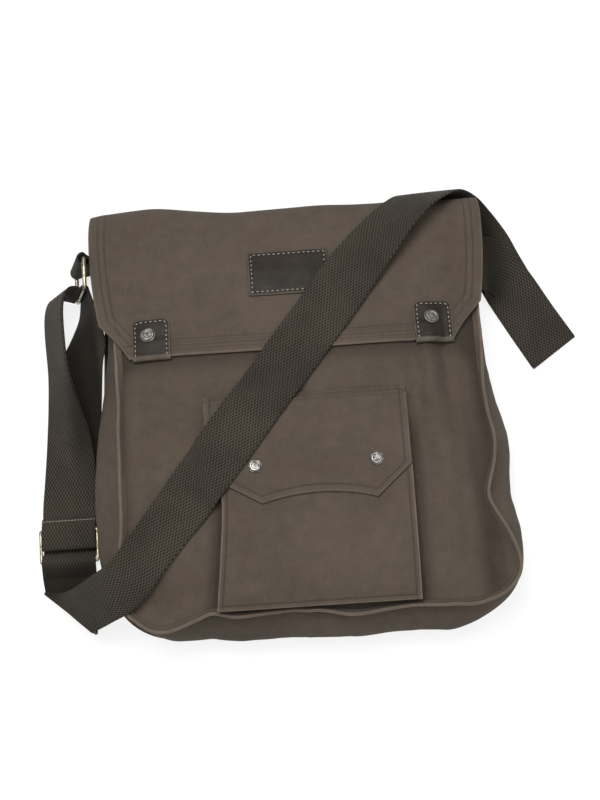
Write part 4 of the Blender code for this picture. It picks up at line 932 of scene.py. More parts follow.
def label_grid(flap):
    """The leather patch, laid on the flap."""
    half = LABEL_WIDTH / 2
    grid, edges = [], []
    for i in range(LABEL_ROWS + 1):
        y = LABEL_Y + LABEL_HEIGHT * (i / LABEL_ROWS - 0.5)
        row, marks = [], []
        for place in spread(LABEL_COLUMNS, 0.5):
            x = half * place
            away = min(half * (1 - abs(place)), LABEL_HEIGHT / 2 - abs(y - LABEL_Y))
            z = top_of(flap, x, y, SEAT_REACH) + CLEAR + LEATHER
            row.append(Vector((x, y, z + leather_relief(away, 0.0004))))
            marks.append(away)
        grid.append(row)
        edges.append(marks)
    return grid, edges


def square_to(under, x, y, radius):
    """A seat on the cloth at a place: its middle, and two directions along it with its normal."""
    slope_x = (top_of(under, x + radius, y) - top_of(under, x - radius, y)) / (2 * radius)
    slope_y = (top_of(under, x, y + radius) - top_of(under, x, y - radius)) / (2 * radius)
    up = Vector((-slope_x, -slope_y, 1)).normalized()
    side = Vector((1, 0, 0))
    side = (side - up * side.dot(up)).normalized()
    fore = up.cross(side)
    proud = 0.0
    for k in range(12):
        angle = 2 * math.pi * k / 12
        reach = side * math.cos(angle) * radius + fore * math.sin(angle) * radius
        proud = max(proud, top_of(under, x + reach.x, y + reach.y) - top_of(under, x, y) - reach.z)
    return Vector((x, y, top_of(under, x, y))) + up * (CLEAR / 2 + proud), side, fore, up


def turned(name, seat, radius, profile, finish, steps=48):
    """A body turned round a seat's normal, from a profile of radius and height shares."""
    middle, side, fore, up = seat
    rings = []
    for share, rise in profile:
        ring = []
        for k in range(steps):
            angle = 2 * math.pi * k / steps
            way = side * math.cos(angle) + fore * math.sin(angle)
            ring.append(raised(middle) + way * radius * share + up * rise)
        rings.append(ring)
    return sweep(name, rings, finish, sharp=30)


def bar_frame(row):
    """A ring's middle, its long direction, its short direction and the way its face looks."""
    tilt = math.radians(row[3])
    middle = Vector((row[0] * HALF_SPAN, row[1] * HALF_RISE, row[2] * DEPTH))
    if row[0] < 0:
        along = Vector((math.cos(tilt), 0, math.sin(tilt)))
        across = Vector((0, 1, 0))
    else:
        along = Vector((0, 1, 0))
        across = Vector((-1, 0, 0))
    return middle, along, across, across.cross(along)


def wire_ring(name, row, finish):
    """A rectangular wire ring with round corners."""
    middle, along, across, face = bar_frame(row)
    half_long = (STRAP_WIDTH + RING_PLAY + RING_WIRE) / 2
    half_short = (RING_SHORT - RING_WIRE) / 2
    corner = RING_WIRE * 0.8
    sections = []
    for quarter in range(4):
        sx = 1 if quarter in (0, 3) else -1
        sy = 1 if quarter in (0, 1) else -1
        for k in range(9):
            angle = math.pi / 2 * (quarter + k / 8)
            out = along * math.cos(angle) + across * math.sin(angle)
            spot = (
                middle + along * sx * (half_long - corner) + across * sy * (half_short - corner)
                + out * corner)
            spot.z += lift(middle.x, middle.y)
            section = []
            for j in range(16):
                turn = 2 * math.pi * j / 16
                section.append(spot + (out * math.cos(turn) + face * math.sin(turn)) * RING_WIRE / 2)
            sections.append(section)
    return sweep(name, sections, finish, closed=True)


def webbing_loop(name, row, wall_point, knee, finish):
    """The doubled webbing that holds a ring to the gusset, one U-shaped sheet with a knee in it."""
    middle, along, across, _ = bar_frame(row)
    bar = middle + across * (RING_SHORT - RING_WIRE) / 2
    bar.z += lift(middle.x, middle.y)
    radius = RING_WIRE / 2 + CLEAR + STRAP_THICK / 2 + LOOP_SLACK
    toward_wall = Vector((-math.copysign(1, row[0]), 0, 0))
    away = -(toward_wall - along * toward_wall.dot(along)).normalized()
    ply = along.cross(away)
    root_gap = STRAP_THICK / 2 + CLEAR / 2

    def bent(wall, side):
        x = wall.x + (side.x - wall.x) * knee[0]
        z = wall.z + (side.z - wall.z) * knee[1]
        return Vector((x, (wall.y + side.y) / 2, z))

    def curve(a, b, c, steps):
        return [a.lerp(b, t / steps).lerp(b.lerp(c, t / steps), t / steps) for t in range(steps)]

    grid = []
    for k in range(17):
        lane = k / 16 - 0.5
        held = bar + along * lane * STRAP_WIDTH
        wall = wall_point(lane, ply, root_gap)
        up_side, low_side = held + ply * radius, held - ply * radius
        line = curve(wall[0], bent(wall[0], up_side), up_side, 8)
        for step in range(17):
            angle = math.pi * step / 16
            line.append(held + ply * radius * math.cos(angle) + away * radius * math.sin(angle))
        line += list(reversed(curve(wall[1], bent(wall[1], low_side), low_side, 8)))
        grid.append(line)
    turned_grid = [[row[k] for row in grid] for k in range(len(grid[0]))]
    return sheet(name, turned_grid, STRAP_THICK, finish, outer_share=0.5)


def rung(x, y, z, turn, tilt=0.0, width=1.0):
    """Both edges of the webbing at one place on its route, left one first."""
    half = STRAP_WIDTH * width / 2
    turn, tilt = math.radians(turn), math.radians(tilt)
    reach = Vector((math.cos(turn) * math.cos(tilt), math.sin(turn) * math.cos(tilt), math.sin(tilt)))
    middle = Vector((x, y, z))
    return middle - reach * half, middle + reach * half


def spline(rungs, pieces):
    """Rungs on a smooth line through the given ones."""
    out = []
    for k in range(len(rungs) - 1):
        before = rungs[max(k - 1, 0)]
        start, end = rungs[k], rungs[k + 1]
        after = rungs[min(k + 2, len(rungs) - 1)]
        for step in range(pieces):
            t = step / pieces
            pair = []
            for side in (0, 1):
                p0, p1, p2, p3 = before[side], start[side], end[side], after[side]
                point = p1 * 2 + (p2 - p0) * t + (p0 * 2 - p1 * 5 + p2 * 4 - p3) * t ** 2
                point += (p1 * 3 - p0 - p2 * 3 + p3) * t ** 3
                pair.append(point / 2)
            out.append(tuple(pair))
    out.append(rungs[-1])
    return out


def even_rungs(rungs, station):
    """Rungs at even steps along a smooth line, and the place of each among the given rungs."""
    pieces = 24
    fine = spline(rungs, pieces)
    middles = np.array([tuple((a + b) / 2) for a, b in fine])
    travel = np.concatenate([[0.0], np.cumsum(np.linalg.norm(np.diff(middles, axis=0), axis=1))])
    count = math.ceil(travel[-1] / station)
    places = np.interp(np.linspace(0.0, travel[-1], count + 1), travel, np.arange(len(fine)))
    out = []
    for place in places:
        before = min(int(place), len(fine) - 2)
        share = place - before
        out.append(tuple(fine[before][side].lerp(fine[before + 1][side], share) for side in (0, 1)))
    return out, places / pieces


def round_bar(first_side, last_side, through, steps=14):
    """Rungs round a bar or a crease: from one side of it to the other, by way of a third."""
    out = []
    for k in range(1, steps):
        angle = math.pi * k / steps
        pair = []
        for side in (0, 1):
            centre = (first_side[side] + last_side[side]) / 2
            arm = first_side[side] - centre
            pair.append(centre + arm * math.cos(angle) + through * arm.length * math.sin(angle))
        out.append(tuple(pair))
    return out


def spaced(rungs):
    """The grid of lane points between the two edges of each rung."""
    return [[a.lerp(b, k / STRAP_LANES) for k in range(STRAP_LANES + 1)] for a, b in rungs]


def creased(row, low, high):
    """Both rungs of a flat fold, lower one first, and the way in which the fold points."""
    x, y, turn, width = row
    spot = (x * HALF_SPAN, y * HALF_RISE)
    angle = math.radians(turn)
    beyond = Vector((math.sin(angle), -math.cos(angle), 0))
    return rung(*spot, low, turn, width=width), rung(*spot, high, turn, width=width), beyond


def draped_front_run(tree, rungs_flat):
    """Lay the front run's lanes on the bag: no lower than what is under them, and never steep."""
    lanes = STRAP_LANES + 1
    reach = 0.009
    steepest = 1.05
    floor = 2 * WEBBING_LAYER - STRAP_THICK / 2
    flat = spaced(rungs_flat)

    def under(x, y):
        hit = tree.ray_cast(Vector((x, y, 5 * DEPTH)), Vector((0, 0, -1)))
        return hit[0].z if hit[0] else 0.0

    heights = np.zeros((len(flat), lanes))
    for k, row in enumerate(flat):
        for j, p in enumerate(row):
            y = min(p.y, STRAP_WRAP_Y)
            around = (-0.003, 0, 0.003)
            found = max(under(p.x + dx, y + dy) for dx in around for dy in around)
            heights[k, j] = max(found + STRAP_CLEAR + STRAP_THICK / 2, floor)
    plan = np.array([[(p.x, p.y) for p in row] for row in flat])
    steps = np.linalg.norm(np.diff(plan, axis=0), axis=2)
    travel = np.vstack([np.zeros(lanes), np.cumsum(steps, axis=0)])
    laid = heights.copy()
    for j in range(lanes):
        s = travel[:, j]
        near = np.abs(s[:, None] - s[None, :])
        widened = np.where(near <= reach, heights[None, :, j], -1).max(axis=1)
        cone = np.maximum((widened[None, :] - steepest * near).max(axis=1), floor)
        weights = np.maximum(reach - near, 0.0)
        laid[:, j] = (weights * cone[None, :]).sum(axis=1) / weights.sum(axis=1)
    for _ in range(30):
        laid[:, 1:-1] = np.maximum(laid[:, 1:-1], (laid[:, :-2] + laid[:, 2:]) / 2)
    return flat, laid


def strap_grid(tree):
    """Every rung of the shoulder strap, from the sewn end by the slider to the one in the right ring."""
    def tilted(row):
        return rung(row[0] * HALF_SPAN, row[1] * HALF_RISE, row[2] * DEPTH, 0.0, row[3])

    def turned_at(row):
        return rung(row[0] * HALF_SPAN, row[1] * HALF_RISE, row[2] * DEPTH, row[3], width=row[4])

    grid = []
    left_middle, left_along, left_across, left_face = bar_frame(LEFT_RING)
    bar = left_middle - left_across * (RING_SHORT - RING_WIRE) / 2
    arm = RING_WIRE / 2 + CLEAR + STRAP_THICK / 2
    edge = left_along * STRAP_WIDTH / 2
    over = -left_face
    if over.x > 0:
        over = -over
    bar_out = (bar + over * arm - edge, bar + over * arm + edge)
    bar_in = (bar - over * arm - edge, bar - over * arm + edge)

    sewn = [tilted(row) for row in LEFT_OUT]
    climb = [tilted(row) for row in LEFT_UP]
    grid += spaced(spline(sewn, 5))
    grid += spaced(round_bar(sewn[-1], climb[0], Vector((0, -1, 0))))
    grid += spaced(spline(climb + [bar_out], 8))
    grid += spaced(round_bar(bar_out, bar_in, Vector((0, 1, 0))))
    down = [bar_in] + [tilted(row) for row in LEFT_DOWN]
    grid += spaced(spline(down, 7))

    low = WEBBING_LAYER - STRAP_THICK / 2
    high = low + WEBBING_LAYER
    crease_low, crease_high, beyond = creased(LEFT_CREASE, low, high)
    grid += spaced(spline([down[-1], crease_low], 14)[1:])
    grid += spaced(round_bar(crease_low, crease_high, beyond, 8))

    flat_rungs = [(crease_high[0].copy(), crease_high[1].copy())]
    rises = [0.0]
    for x, travel, turn_here, width, rise in FRONT_RUN:
        flat_rungs.append(rung(x * HALF_SPAN, travel * HALF_RISE, 0.0, turn_here, width=width))
        rises.append(rise)
    for pair in flat_rungs:
        for point in pair:
            point.z = 0.0
    fine, places = even_rungs(flat_rungs, STRAP_STATION)
    rise_at = np.interp(places, range(len(rises)), rises)
    flat, heights = draped_front_run(tree, fine)
    wrap_end = STRAP_WRAP_Y + STRAP_WRAP_GIRTH
    for k, row in enumerate(flat):
        line = []
        for j, p in enumerate(row):
            top = heights[k, j] + rise_at[k] * STRAP_WIDTH * (j / STRAP_LANES) ** 1.5
            past = (p.y - STRAP_WRAP_Y) / STRAP_WRAP_GIRTH
            if past <= 0:
                line.append(Vector((p.x, p.y, top)))
            elif past < 1:
                angle = math.pi * past
                y = STRAP_WRAP_Y + STRAP_WRAP_REACH * math.sin(angle)
                z = low + (top - low) * (1 + math.cos(angle)) / 2
                line.append(Vector((p.x, y, z)))
            else:
                line.append(Vector((p.x, STRAP_WRAP_Y - (p.y - wrap_end), low)))
        grid.append(line)

    out = [rung(r[0] * HALF_SPAN, r[1] * HALF_RISE, low, r[3], width=r[4]) for r in RIGHT_OUT]
    fold_low, fold_high, beyond = creased(RIGHT_CREASE, low, high)
    last = (grid[-1][0], grid[-1][-1])
    grid += spaced(spline([last] + out + [fold_low], 12)[1:])
    grid += spaced(round_bar(fold_low, fold_high, beyond, 8))

    right_middle, right_along, right_across, _ = bar_frame(RIGHT_RING)
    held = right_middle - right_across * (RING_SHORT - RING_WIRE) / 2
    held.z += lift(right_middle.x, right_middle.y)
    edge = right_along * STRAP_WIDTH / 2
    above = Vector((0, 0, arm))
    bar_top = (held + above - edge, held + above + edge)
    bar_low = (held - above - edge, held - above + edge)
    back = [turned_at(row) for row in RIGHT_BACK]
    end = [turned_at(row) for row in RIGHT_END]
    grid += spaced(spline([fold_high] + back + [bar_top], 8))
    grid += spaced(round_bar(bar_top, bar_low, Vector((-1, 0, 0))))
    grid += spaced(spline([bar_low] + end, 6))
    return [[Vector((p.x, p.y, max(p.z, low))) for p in row] for row in grid]


def painted_webbing_shade_share(point):
    """How much painted shade darkens the webbing where it lies in shadow: low by the gusset, at the crease,
    past the mouth.

    Places and reaches are shares of HALF_SPAN, HALF_RISE and DEPTH.
    """
    x, y = point.x / HALF_SPAN, point.y / HALF_RISE
    deep = 1.0 - smooth_step((point.z / DEPTH - 0.04) / 0.25)
    beside = smooth_step((x + 1.11) / 0.08) * smooth_step((-0.92 - x) / 0.03)
    beside *= smooth_step((y + 0.35) / 0.5)
    crease = smooth_step((-0.55 - y) / 0.06) * deep * smooth_step((-0.95 - x) / 0.1)
    mouth = smooth_step((x - 0.92) / 0.05) * smooth_step((1.12 - x) / 0.14)
    mouth *= smooth_step((y - 0.5) / 0.1)
    return max(beside, crease, mouth)


def world_tree(things):
    """One search tree over the faces of several objects."""
    points, faces = [], []
    for thing in things:
        start = len(points)
        points += [v.co.copy() for v in thing.data.vertices]
        faces += [tuple(start + k for k in p.vertices) for p in thing.data.polygons]
    return BVHTree.FromPolygons(points, faces)


def lifted_grid(grid):
    """A grid with the right corner's rise added."""
    return [[raised(p) for p in row] for row in grid]


class Value:
    """A number that a material works out at each place; arithmetic on it adds Math nodes."""

    def __init__(self, finish, socket):
        self.finish = finish
        self.socket = socket

    def maths(self, operation, other=None, swapped=False):
        inputs = {0: self} if other is None else {0: self, 1: other}
        if swapped:
            inputs = {0: other, 1: self}
        made_node = self.finish.node("ShaderNodeMath", {"operation": operation}, inputs)
        return Value(self.finish, made_node.outputs[0])

    def __add__(self, other):
        return self.maths("ADD", other)

    __radd__ = __add__

    def __sub__(self, other):
        return self.maths("SUBTRACT", other)

    def __rsub__(self, other):
        return self.maths("SUBTRACT", other, True)

    def __mul__(self, other):
        return self.maths("MULTIPLY", other)

    __rmul__ = __mul__

    def __truediv__(self, other):
        return self.maths("DIVIDE", other)

    def __rtruediv__(self, other):
        return self.maths("DIVIDE", other, True)

    def __pow__(self, other):
        return self.maths("POWER", other)

    def cosine(self):
        return self.maths("COSINE")

    def size(self):
        return self.maths("ABSOLUTE")

    def step(self, low, high):
        """From 0 below one value to 1 above the other, softly."""
        ranged = self.finish.node("ShaderNodeMapRange", {"interpolation_type": "SMOOTHSTEP"}, {
            "Value": self, "From Min": low, "From Max": high, "To Min": 0.0, "To Max": 1.0})
        return Value(self.finish, ranged.outputs["Result"])


class Finish:
    """One material, built up node by node."""

    def __init__(self, name, **fixed):
        self.material = bpy.data.materials.new(name)
        self.material.use_nodes = True
        self.tree = self.material.node_tree
        self.tree.nodes.clear()
        self.shader = self.node("ShaderNodeBsdfPrincipled", {}, {
            key.replace("_", " ").title().replace("Ior", "IOR"): value for key, value in fixed.items()})
        self.node("ShaderNodeOutputMaterial", {}, {"Surface": self.shader.outputs["BSDF"]})
        self.places = self.node("ShaderNodeTexCoord")

    def node(self, kind, settings=None, inputs=None):
        """Add a node, set its settings first, then give its sockets values or links."""
        added = self.tree.nodes.new(kind)
        for key, value in (settings or {}).items():
            setattr(added, key, value)
        for key, value in (inputs or {}).items():
            socket = added.inputs[key]
            if isinstance(value, Value):
                self.tree.links.new(value.socket, socket)
            elif isinstance(value, bpy.types.NodeSocket):
                self.tree.links.new(value, socket)
            else:
                socket.default_value = value
        return added

    def mark(self, name):
        """A value that the mesh carries under this name."""
        return Value(self, self.node("ShaderNodeAttribute", {"attribute_name": name}).outputs["Fac"])

    def along_cloth(self):
        """Lengths along and across the cloth, in metres."""
        parts = self.node("ShaderNodeSeparateXYZ", {}, {"Vector": self.places.outputs["UV"]})
        return Value(self, parts.outputs[0]), Value(self, parts.outputs[1])

    def noise(self, scale, detail=2.0, roughness=0.5, stretch=None, cloth=False):
        """Noise from 0 to 1 over the object or along the cloth."""
        source = self.places.outputs["UV" if cloth else "Object"]
        if stretch:
            stretched = self.node("ShaderNodeVectorMath", {"operation": "MULTIPLY"}, {0: source, 1: stretch})
            source = stretched.outputs[0]
        texture = self.node("ShaderNodeTexNoise", {}, {
            "Vector": source, "Scale": scale, "Detail": detail, "Roughness": roughness})
        return Value(self, texture.outputs["Fac"])

    def blend(self, share, first, second):
        """Mix two colours by a share."""
        mixed = self.node("ShaderNodeMix", {"data_type": "RGBA"}, {"Factor": share})
        for key, colour in ((6, first), (7, second)):
            if isinstance(colour, bpy.types.NodeSocket):
                self.tree.links.new(colour, mixed.inputs[key])
            else:
                mixed.inputs[key].default_value = (*colour[:3], 1.0)
        return mixed.outputs[2]

    def wear(self, colour=None, roughness=None, height=None, strength=1.0, metallic=None):
        """Give the shader its changing colour, roughness and relief (relief in metres)."""
        if colour is not None:
            self.tree.links.new(colour, self.shader.inputs["Base Color"])
        if roughness is not None:
            self.tree.links.new(roughness.socket, self.shader.inputs["Roughness"])
        if metallic is not None:
            self.tree.links.new(metallic.socket, self.shader.inputs["Metallic"])
        if height is not None:
            relief = self.node("ShaderNodeBump", {}, {
                "Height": height, "Strength": strength, "Distance": 1.0})
            self.tree.links.new(relief.outputs["Normal"], self.shader.inputs["Normal"])
        return self.material


def scaled(colour, share):
    """A colour made lighter or darker."""
    return tuple(min(c * share, 1.0) for c in colour[:3])


def canvas_finish(name, colour, weave, seam_rows=(), hem=0.0, wear=0.0, with_painted_shade=False):
    """Washed cotton canvas: a fine plain weave, slubs, faded patches, and pale edges that are partly wear and
    partly painted highlight.
    """
    finish = Finish(name, specular_ior_level=0.15, sheen_weight=0.03, sheen_roughness=0.5)
    # The cloth: crossing threads, thicker ones among them, and three sizes of unevenness
    u, v = finish.along_cloth()
    turn = 2 * math.pi / weave
    threads = (u * turn).cosine() * (v * turn).cosine()
    slub_u = finish.noise(1.0, 2.0, 0.6, stretch=(70.0, 1500.0, 0.0), cloth=True)
    slub_v = finish.noise(1.0, 2.0, 0.6, stretch=(1500.0, 70.0, 0.0), cloth=True)
    slubs = slub_u + slub_v - 1.0
    patches = finish.noise(9.0, 4.0, 0.62)
    mottle = finish.noise(85.0, 3.0, 0.6)
    grain = finish.noise(900.0, 2.0, 0.6)
    shade = (
        0.5 + (patches - 0.5) * 1.05 + (mottle - 0.5) * 0.62 + (grain - 0.5) * 0.50
        + slubs * 0.55 + threads * 0.10)
    tint = finish.blend(shade.step(0.1, 0.9), scaled(colour, 0.80), scaled(colour, 1.22))
    warm = finish.noise(22.0, 3.0, 0.6).step(0.45, 0.75)
    tint = finish.blend(warm * 0.30, tint, (colour[0] * 1.05, colour[1] * 0.94, colour[2] * 0.90))
    # Painted shade on the front: darker beside the pocket, under the flap's lower edge and along the side seams
    if with_painted_shade:
        dark = finish.mark("painted_shade") * (0.55 + patches * 0.7 + (mottle - 0.5) * 1.0)
        tint = finish.blend(dark.step(0.0, 1.0), tint, scaled(colour, 0.52))
    height = threads * 0.00004 + slubs * 0.00016 + (mottle - 0.5) * 0.00030 + (grain - 0.5) * 0.00006
    # Its seams: pale edges, partly wear and partly painted highlight, a puckered groove with painted shade
    # under each stitch row, and the hem's double ply
    if seam_rows or hem or wear:
        edge = finish.mark("edge")
        if wear:
            # Pale edges: partly rubbed wear and partly painted highlight where the folded edges catch the light
            worn = (1.0 - edge.step(0.0002, 0.0022)) * (0.55 + mottle * 0.9)
            tint = finish.blend(worn * wear, tint, scaled(colour, 2.1))
        for row in seam_rows:
            beside = (edge - row).size()
            groove = 1.0 - beside.step(0.0002, 0.0013)
            pucker = finish.noise(210.0, 1.0, 0.5)
            height = height - groove * (0.00026 + pucker * 0.00034)
            ridge = beside.step(0.0006, 0.0026) * (1.0 - beside.step(0.0026, 0.0052))
            height = height + ridge * pucker * 0.00032
            # Painted shade: the groove under each stitch row is darkened
            tint = finish.blend(groove * 0.42, tint, scaled(colour, 0.55))
        if hem:
            inside = edge.step(hem - 0.0012, hem + 0.0012)
            tint = finish.blend((1.0 - inside) * 0.16, tint, scaled(colour, 1.30))
    return finish.wear(tint, (mottle * 0.10 + 0.84), height)


def webbing_finish(name, dark, light, across=0.0030, along=0.0027, painted_webbing_shade=False):
    """Heavy cotton webbing: rows of ribs with pale knots on a dark ground, and painted shade where it lies in
    shadow.
    """
    finish = Finish(name, specular_ior_level=0.15, sheen_weight=0.04, sheen_roughness=0.5)
    u, v = finish.along_cloth()
    wander = finish.noise(160.0, 2.0, 0.5, cloth=True) - 0.5
    crosswise = (u * (2 * math.pi / across) + wander * 1.2).cosine()
    lengthwise = (v * (math.pi / along) + wander * 0.7).cosine()
    knots = crosswise * lengthwise
    ribs = (v * (2 * math.pi / along)).cosine()
    fuzz = finish.noise(1300.0, 2.0, 0.6)
    patches = finish.noise(16.0, 3.0, 0.6)
    amount = 0.34 + knots * 0.36 - ribs * 0.05 + (patches - 0.5) * 0.55 + (fuzz - 0.5) * 0.35
    tint = finish.blend(amount.step(0.0, 1.0), dark, light)
    if painted_webbing_shade:
        # Painted shade: the webbing darkened where it lies in shadow
        tint = finish.blend(finish.mark("painted_webbing_shade") * 0.75, tint, scaled(dark, 0.55))
    height = knots * 0.00016 + ribs * -0.00007 + (fuzz - 0.5) * 0.00008
    return finish.wear(tint, fuzz * 0.1 + 0.84, height)


def leather_finish(name, colour, worn):
    """Dark split leather with fine grain, a pale worn edge, and dents along its stitches darkened with painted
    shade.
    """
    finish = Finish(name, specular_ior_level=0.22, coat_weight=0.03, coat_roughness=0.4)
    grain = Value(finish, finish.node("ShaderNodeTexVoronoi", {"feature": "F1"}, {
        "Vector": finish.places.outputs["Object"], "Scale": 1300.0}).outputs["Distance"])
    cloud = finish.noise(70.0, 4.0, 0.65)
    fine = finish.noise(700.0, 3.0, 0.6)
    edge = finish.mark("edge")
    rub = (1.0 - edge.step(0.0002, 0.0014)) * (0.35 + cloud * 0.9)
    tint = finish.blend(cloud.step(0.25, 0.8), scaled(colour, 0.75), scaled(colour, 1.35))
    tint = finish.blend(rub * 0.75, tint, worn)
    # Painted shade: the leather darkened in the dents that its stitches press
    groove = 1.0 - (edge - LEATHER_ROW).size().step(0.0002, 0.0010)
    tint = finish.blend(groove * 0.5, tint, scaled(colour, 0.5))
    height = grain * 0.00010 + (fine - 0.5) * 0.00010 + (cloud - 0.5) * 0.0004 - groove * 0.00018
    return finish.wear(tint, 0.62 - cloud * 0.30 + fine * 0.12, height)


def metal_finish(name, colour, tarnish, amount, rough):
    """Plated metal with cloudy tarnish and fine rubbing."""
    finish = Finish(name, metallic=1.0)
    cloud = finish.noise(260.0, 4.0, 0.65)
    fine = finish.noise(2400.0, 2.0, 0.5)
    patch = cloud.step(0.62 - amount, 0.80 - amount * 0.6)
    tint = finish.blend(patch, colour, tarnish)
    return finish.wear(tint, fine * 0.12 + patch * 0.15 + rough, (fine - 0.5) * 0.00002)


def thread_finish(name, colour):
    """Twisted sewing thread."""
    finish = Finish(name, specular_ior_level=0.3, sheen_weight=0.15)
    fuzz = finish.noise(1800.0, 2.0, 0.6)
    tint = finish.blend(fuzz.step(0.3, 0.7), scaled(colour, 0.75), scaled(colour, 1.2))
    return finish.wear(tint, fuzz * 0.2 + 0.7, fuzz * 0.00006)


def plain_finish(name, colour, roughness, glow=0.0):
    """An even surface for the floor, with the faintest mottling."""
    finish = Finish(name, specular_ior_level=0.2, emission_strength=glow)
    cloud = finish.noise(3.0, 2.0, 0.5)
    tint = finish.blend(cloud, scaled(colour, 0.99), scaled(colour, 1.01))
    finish.shader.inputs["Emission Color"].default_value = (1, 1, 1, 1)
    return finish.wear(tint, cloud * 0.02 + roughness)


def stitch_tree():
    """Geometry nodes that lay short rounded stitches along the edges of a mesh."""
    tree = bpy.data.node_groups.new("stitch row", "GeometryNodeTree")
    face = tree.interface
    face.new_socket("Geometry", in_out="INPUT", socket_type="NodeSocketGeometry")
    for name in ("Pitch", "Length", "Thickness", "Wander"):
        face.new_socket(name, in_out="INPUT", socket_type="NodeSocketFloat")
    face.new_socket("Seed", in_out="INPUT", socket_type="NodeSocketInt")
    face.new_socket("Thread", in_out="INPUT", socket_type="NodeSocketMaterial")
    face.new_socket("Geometry", in_out="OUTPUT", socket_type="NodeSocketGeometry")

    def add(kind, settings=None, inputs=None):
        node = tree.nodes.new(kind)
        for key, value in (settings or {}).items():
            setattr(node, key, value)
        for key, value in (inputs or {}).items():
            if isinstance(value, bpy.types.NodeSocket):
                tree.links.new(value, node.inputs[key])
            else:
                node.inputs[key].default_value = value
        return node

    given = add("NodeGroupInput")
    curve = add("GeometryNodeMeshToCurve", {}, {"Mesh": given.outputs["Geometry"]})
    even = add("GeometryNodeResampleCurve", {"mode": "LENGTH"}, {
        "Curve": curve.outputs[0], "Length": given.outputs["Pitch"]})
    tangent = add("GeometryNodeInputTangent")
    wander = add("FunctionNodeRandomValue", {"data_type": "FLOAT_VECTOR"}, {
        "Min": (-1.0, -1.0, -0.3), "Max": (1.0, 1.0, 0.3), "Seed": given.outputs["Seed"]})
    offset = add("ShaderNodeVectorMath", {"operation": "SCALE"}, {
        0: wander.outputs[0], "Scale": given.outputs["Wander"]})
    moved = add("GeometryNodeSetPosition", {}, {"Geometry": even.outputs[0], "Offset": offset.outputs[0]})
    ball = add("GeometryNodeMeshUVSphere", {}, {"Segments": 6, "Rings": 5, "Radius": 1.0})
    turn = add("FunctionNodeAlignRotationToVector", {"axis": "Z"}, {"Vector": tangent.outputs[0]})
    half = add("ShaderNodeMath", {"operation": "MULTIPLY"}, {0: given.outputs["Thickness"], 1: 0.5})
    long = add("ShaderNodeMath", {"operation": "MULTIPLY"}, {0: given.outputs["Length"], 1: 0.5})
    size = add("ShaderNodeCombineXYZ", {}, {0: half.outputs[0], 1: half.outputs[0], 2: long.outputs[0]})
    each = add("GeometryNodeInstanceOnPoints", {}, {
        "Points": moved.outputs[0], "Instance": ball.outputs[0],
        "Rotation": turn.outputs[0], "Scale": size.outputs[0]})
    real = add("GeometryNodeRealizeInstances", {}, {"Geometry": each.outputs[0]})
    dressed = add("GeometryNodeSetMaterial", {}, {
        "Geometry": real.outputs[0], "Material": given.outputs["Thread"]})
    add("NodeGroupOutput", {}, {"Geometry": dressed.outputs[0]})
    return tree


def stitches(name, rows, pitch, length, thickness, thread, seed, wander=0.00012):
    """Sew rows of points: returns one plain mesh of stitches."""
    if "stitch_tree" not in made:
        made["stitch_tree"] = stitch_tree()
    points, edges = [], []
    for row in rows:
        start = len(points)
        points += [tuple(p) for p in row]
        edges += [(start + k, start + k + 1) for k in range(len(row) - 1)]
    mesh = bpy.data.meshes.new(name + " rows")
    mesh.from_pydata(points, edges, [])
    guide = bpy.data.objects.new(name + " rows", mesh)
    bpy.context.scene.collection.objects.link(guide)
    modifier = guide.modifiers.new("stitches", "NODES")
    modifier.node_group = made["stitch_tree"]
    values = {
        "Pitch": pitch, "Length": length, "Thickness": thickness, "Wander": wander, "Seed": seed,
        "Thread": thread}
    for socket in made["stitch_tree"].interface.items_tree:
        if socket.in_out == "INPUT" and socket.name in values:
            modifier[socket.identifier] = values[socket.name]
    guide.update_tag()
    bpy.context.view_layer.update()
    whole = guide.evaluated_get(bpy.context.evaluated_depsgraph_get())
    sewn = bpy.data.meshes.new_from_object(whole)
    guide.modifiers.remove(modifier)
    bpy.data.objects.remove(guide)
    sewn.name = name
    sewn.shade_smooth()
    thing = bpy.data.objects.new(name, sewn)
    bpy.context.scene.collection.objects.link(thing)
    return thing


def on_top(tree, points, rise=0.0001):
    """Points laid on the highest face under each place, and lifted a little."""
    out = []
    for p in points:
        z = top_of(tree, p[0], p[1])
        if z is not None:
            out.append(raised(Vector((p[0], p[1], z + rise))))
    return out


def between(a, b, steps=40):
    """Even points from one place to another."""
    x, y = b[0] - a[0], b[1] - a[1]
    return [(a[0] + x * k / steps, a[1] + y * k / steps) for k in range(steps + 1)]


def along_path(corners, steps):
    """Even points along each straight stretch of a path."""
    line = []
    for a, b in zip(corners, corners[1:]):
        line += between(a, b, steps)[:-1]
    return line + [corners[-1]]


def look(context):
    return context.scene.bag_look


def colour_prop(name, description, default):
    """A colour that a user may change."""
    return bpy.props.FloatVectorProperty(
        name=name, description=description, default=default, subtype="COLOR", size=3, min=0, max=1)


def length_prop(name, description, default, least):
    """A small length that a user may change."""
    return bpy.props.FloatProperty(
        name=name, description=description, default=default, min=least, unit="LENGTH")


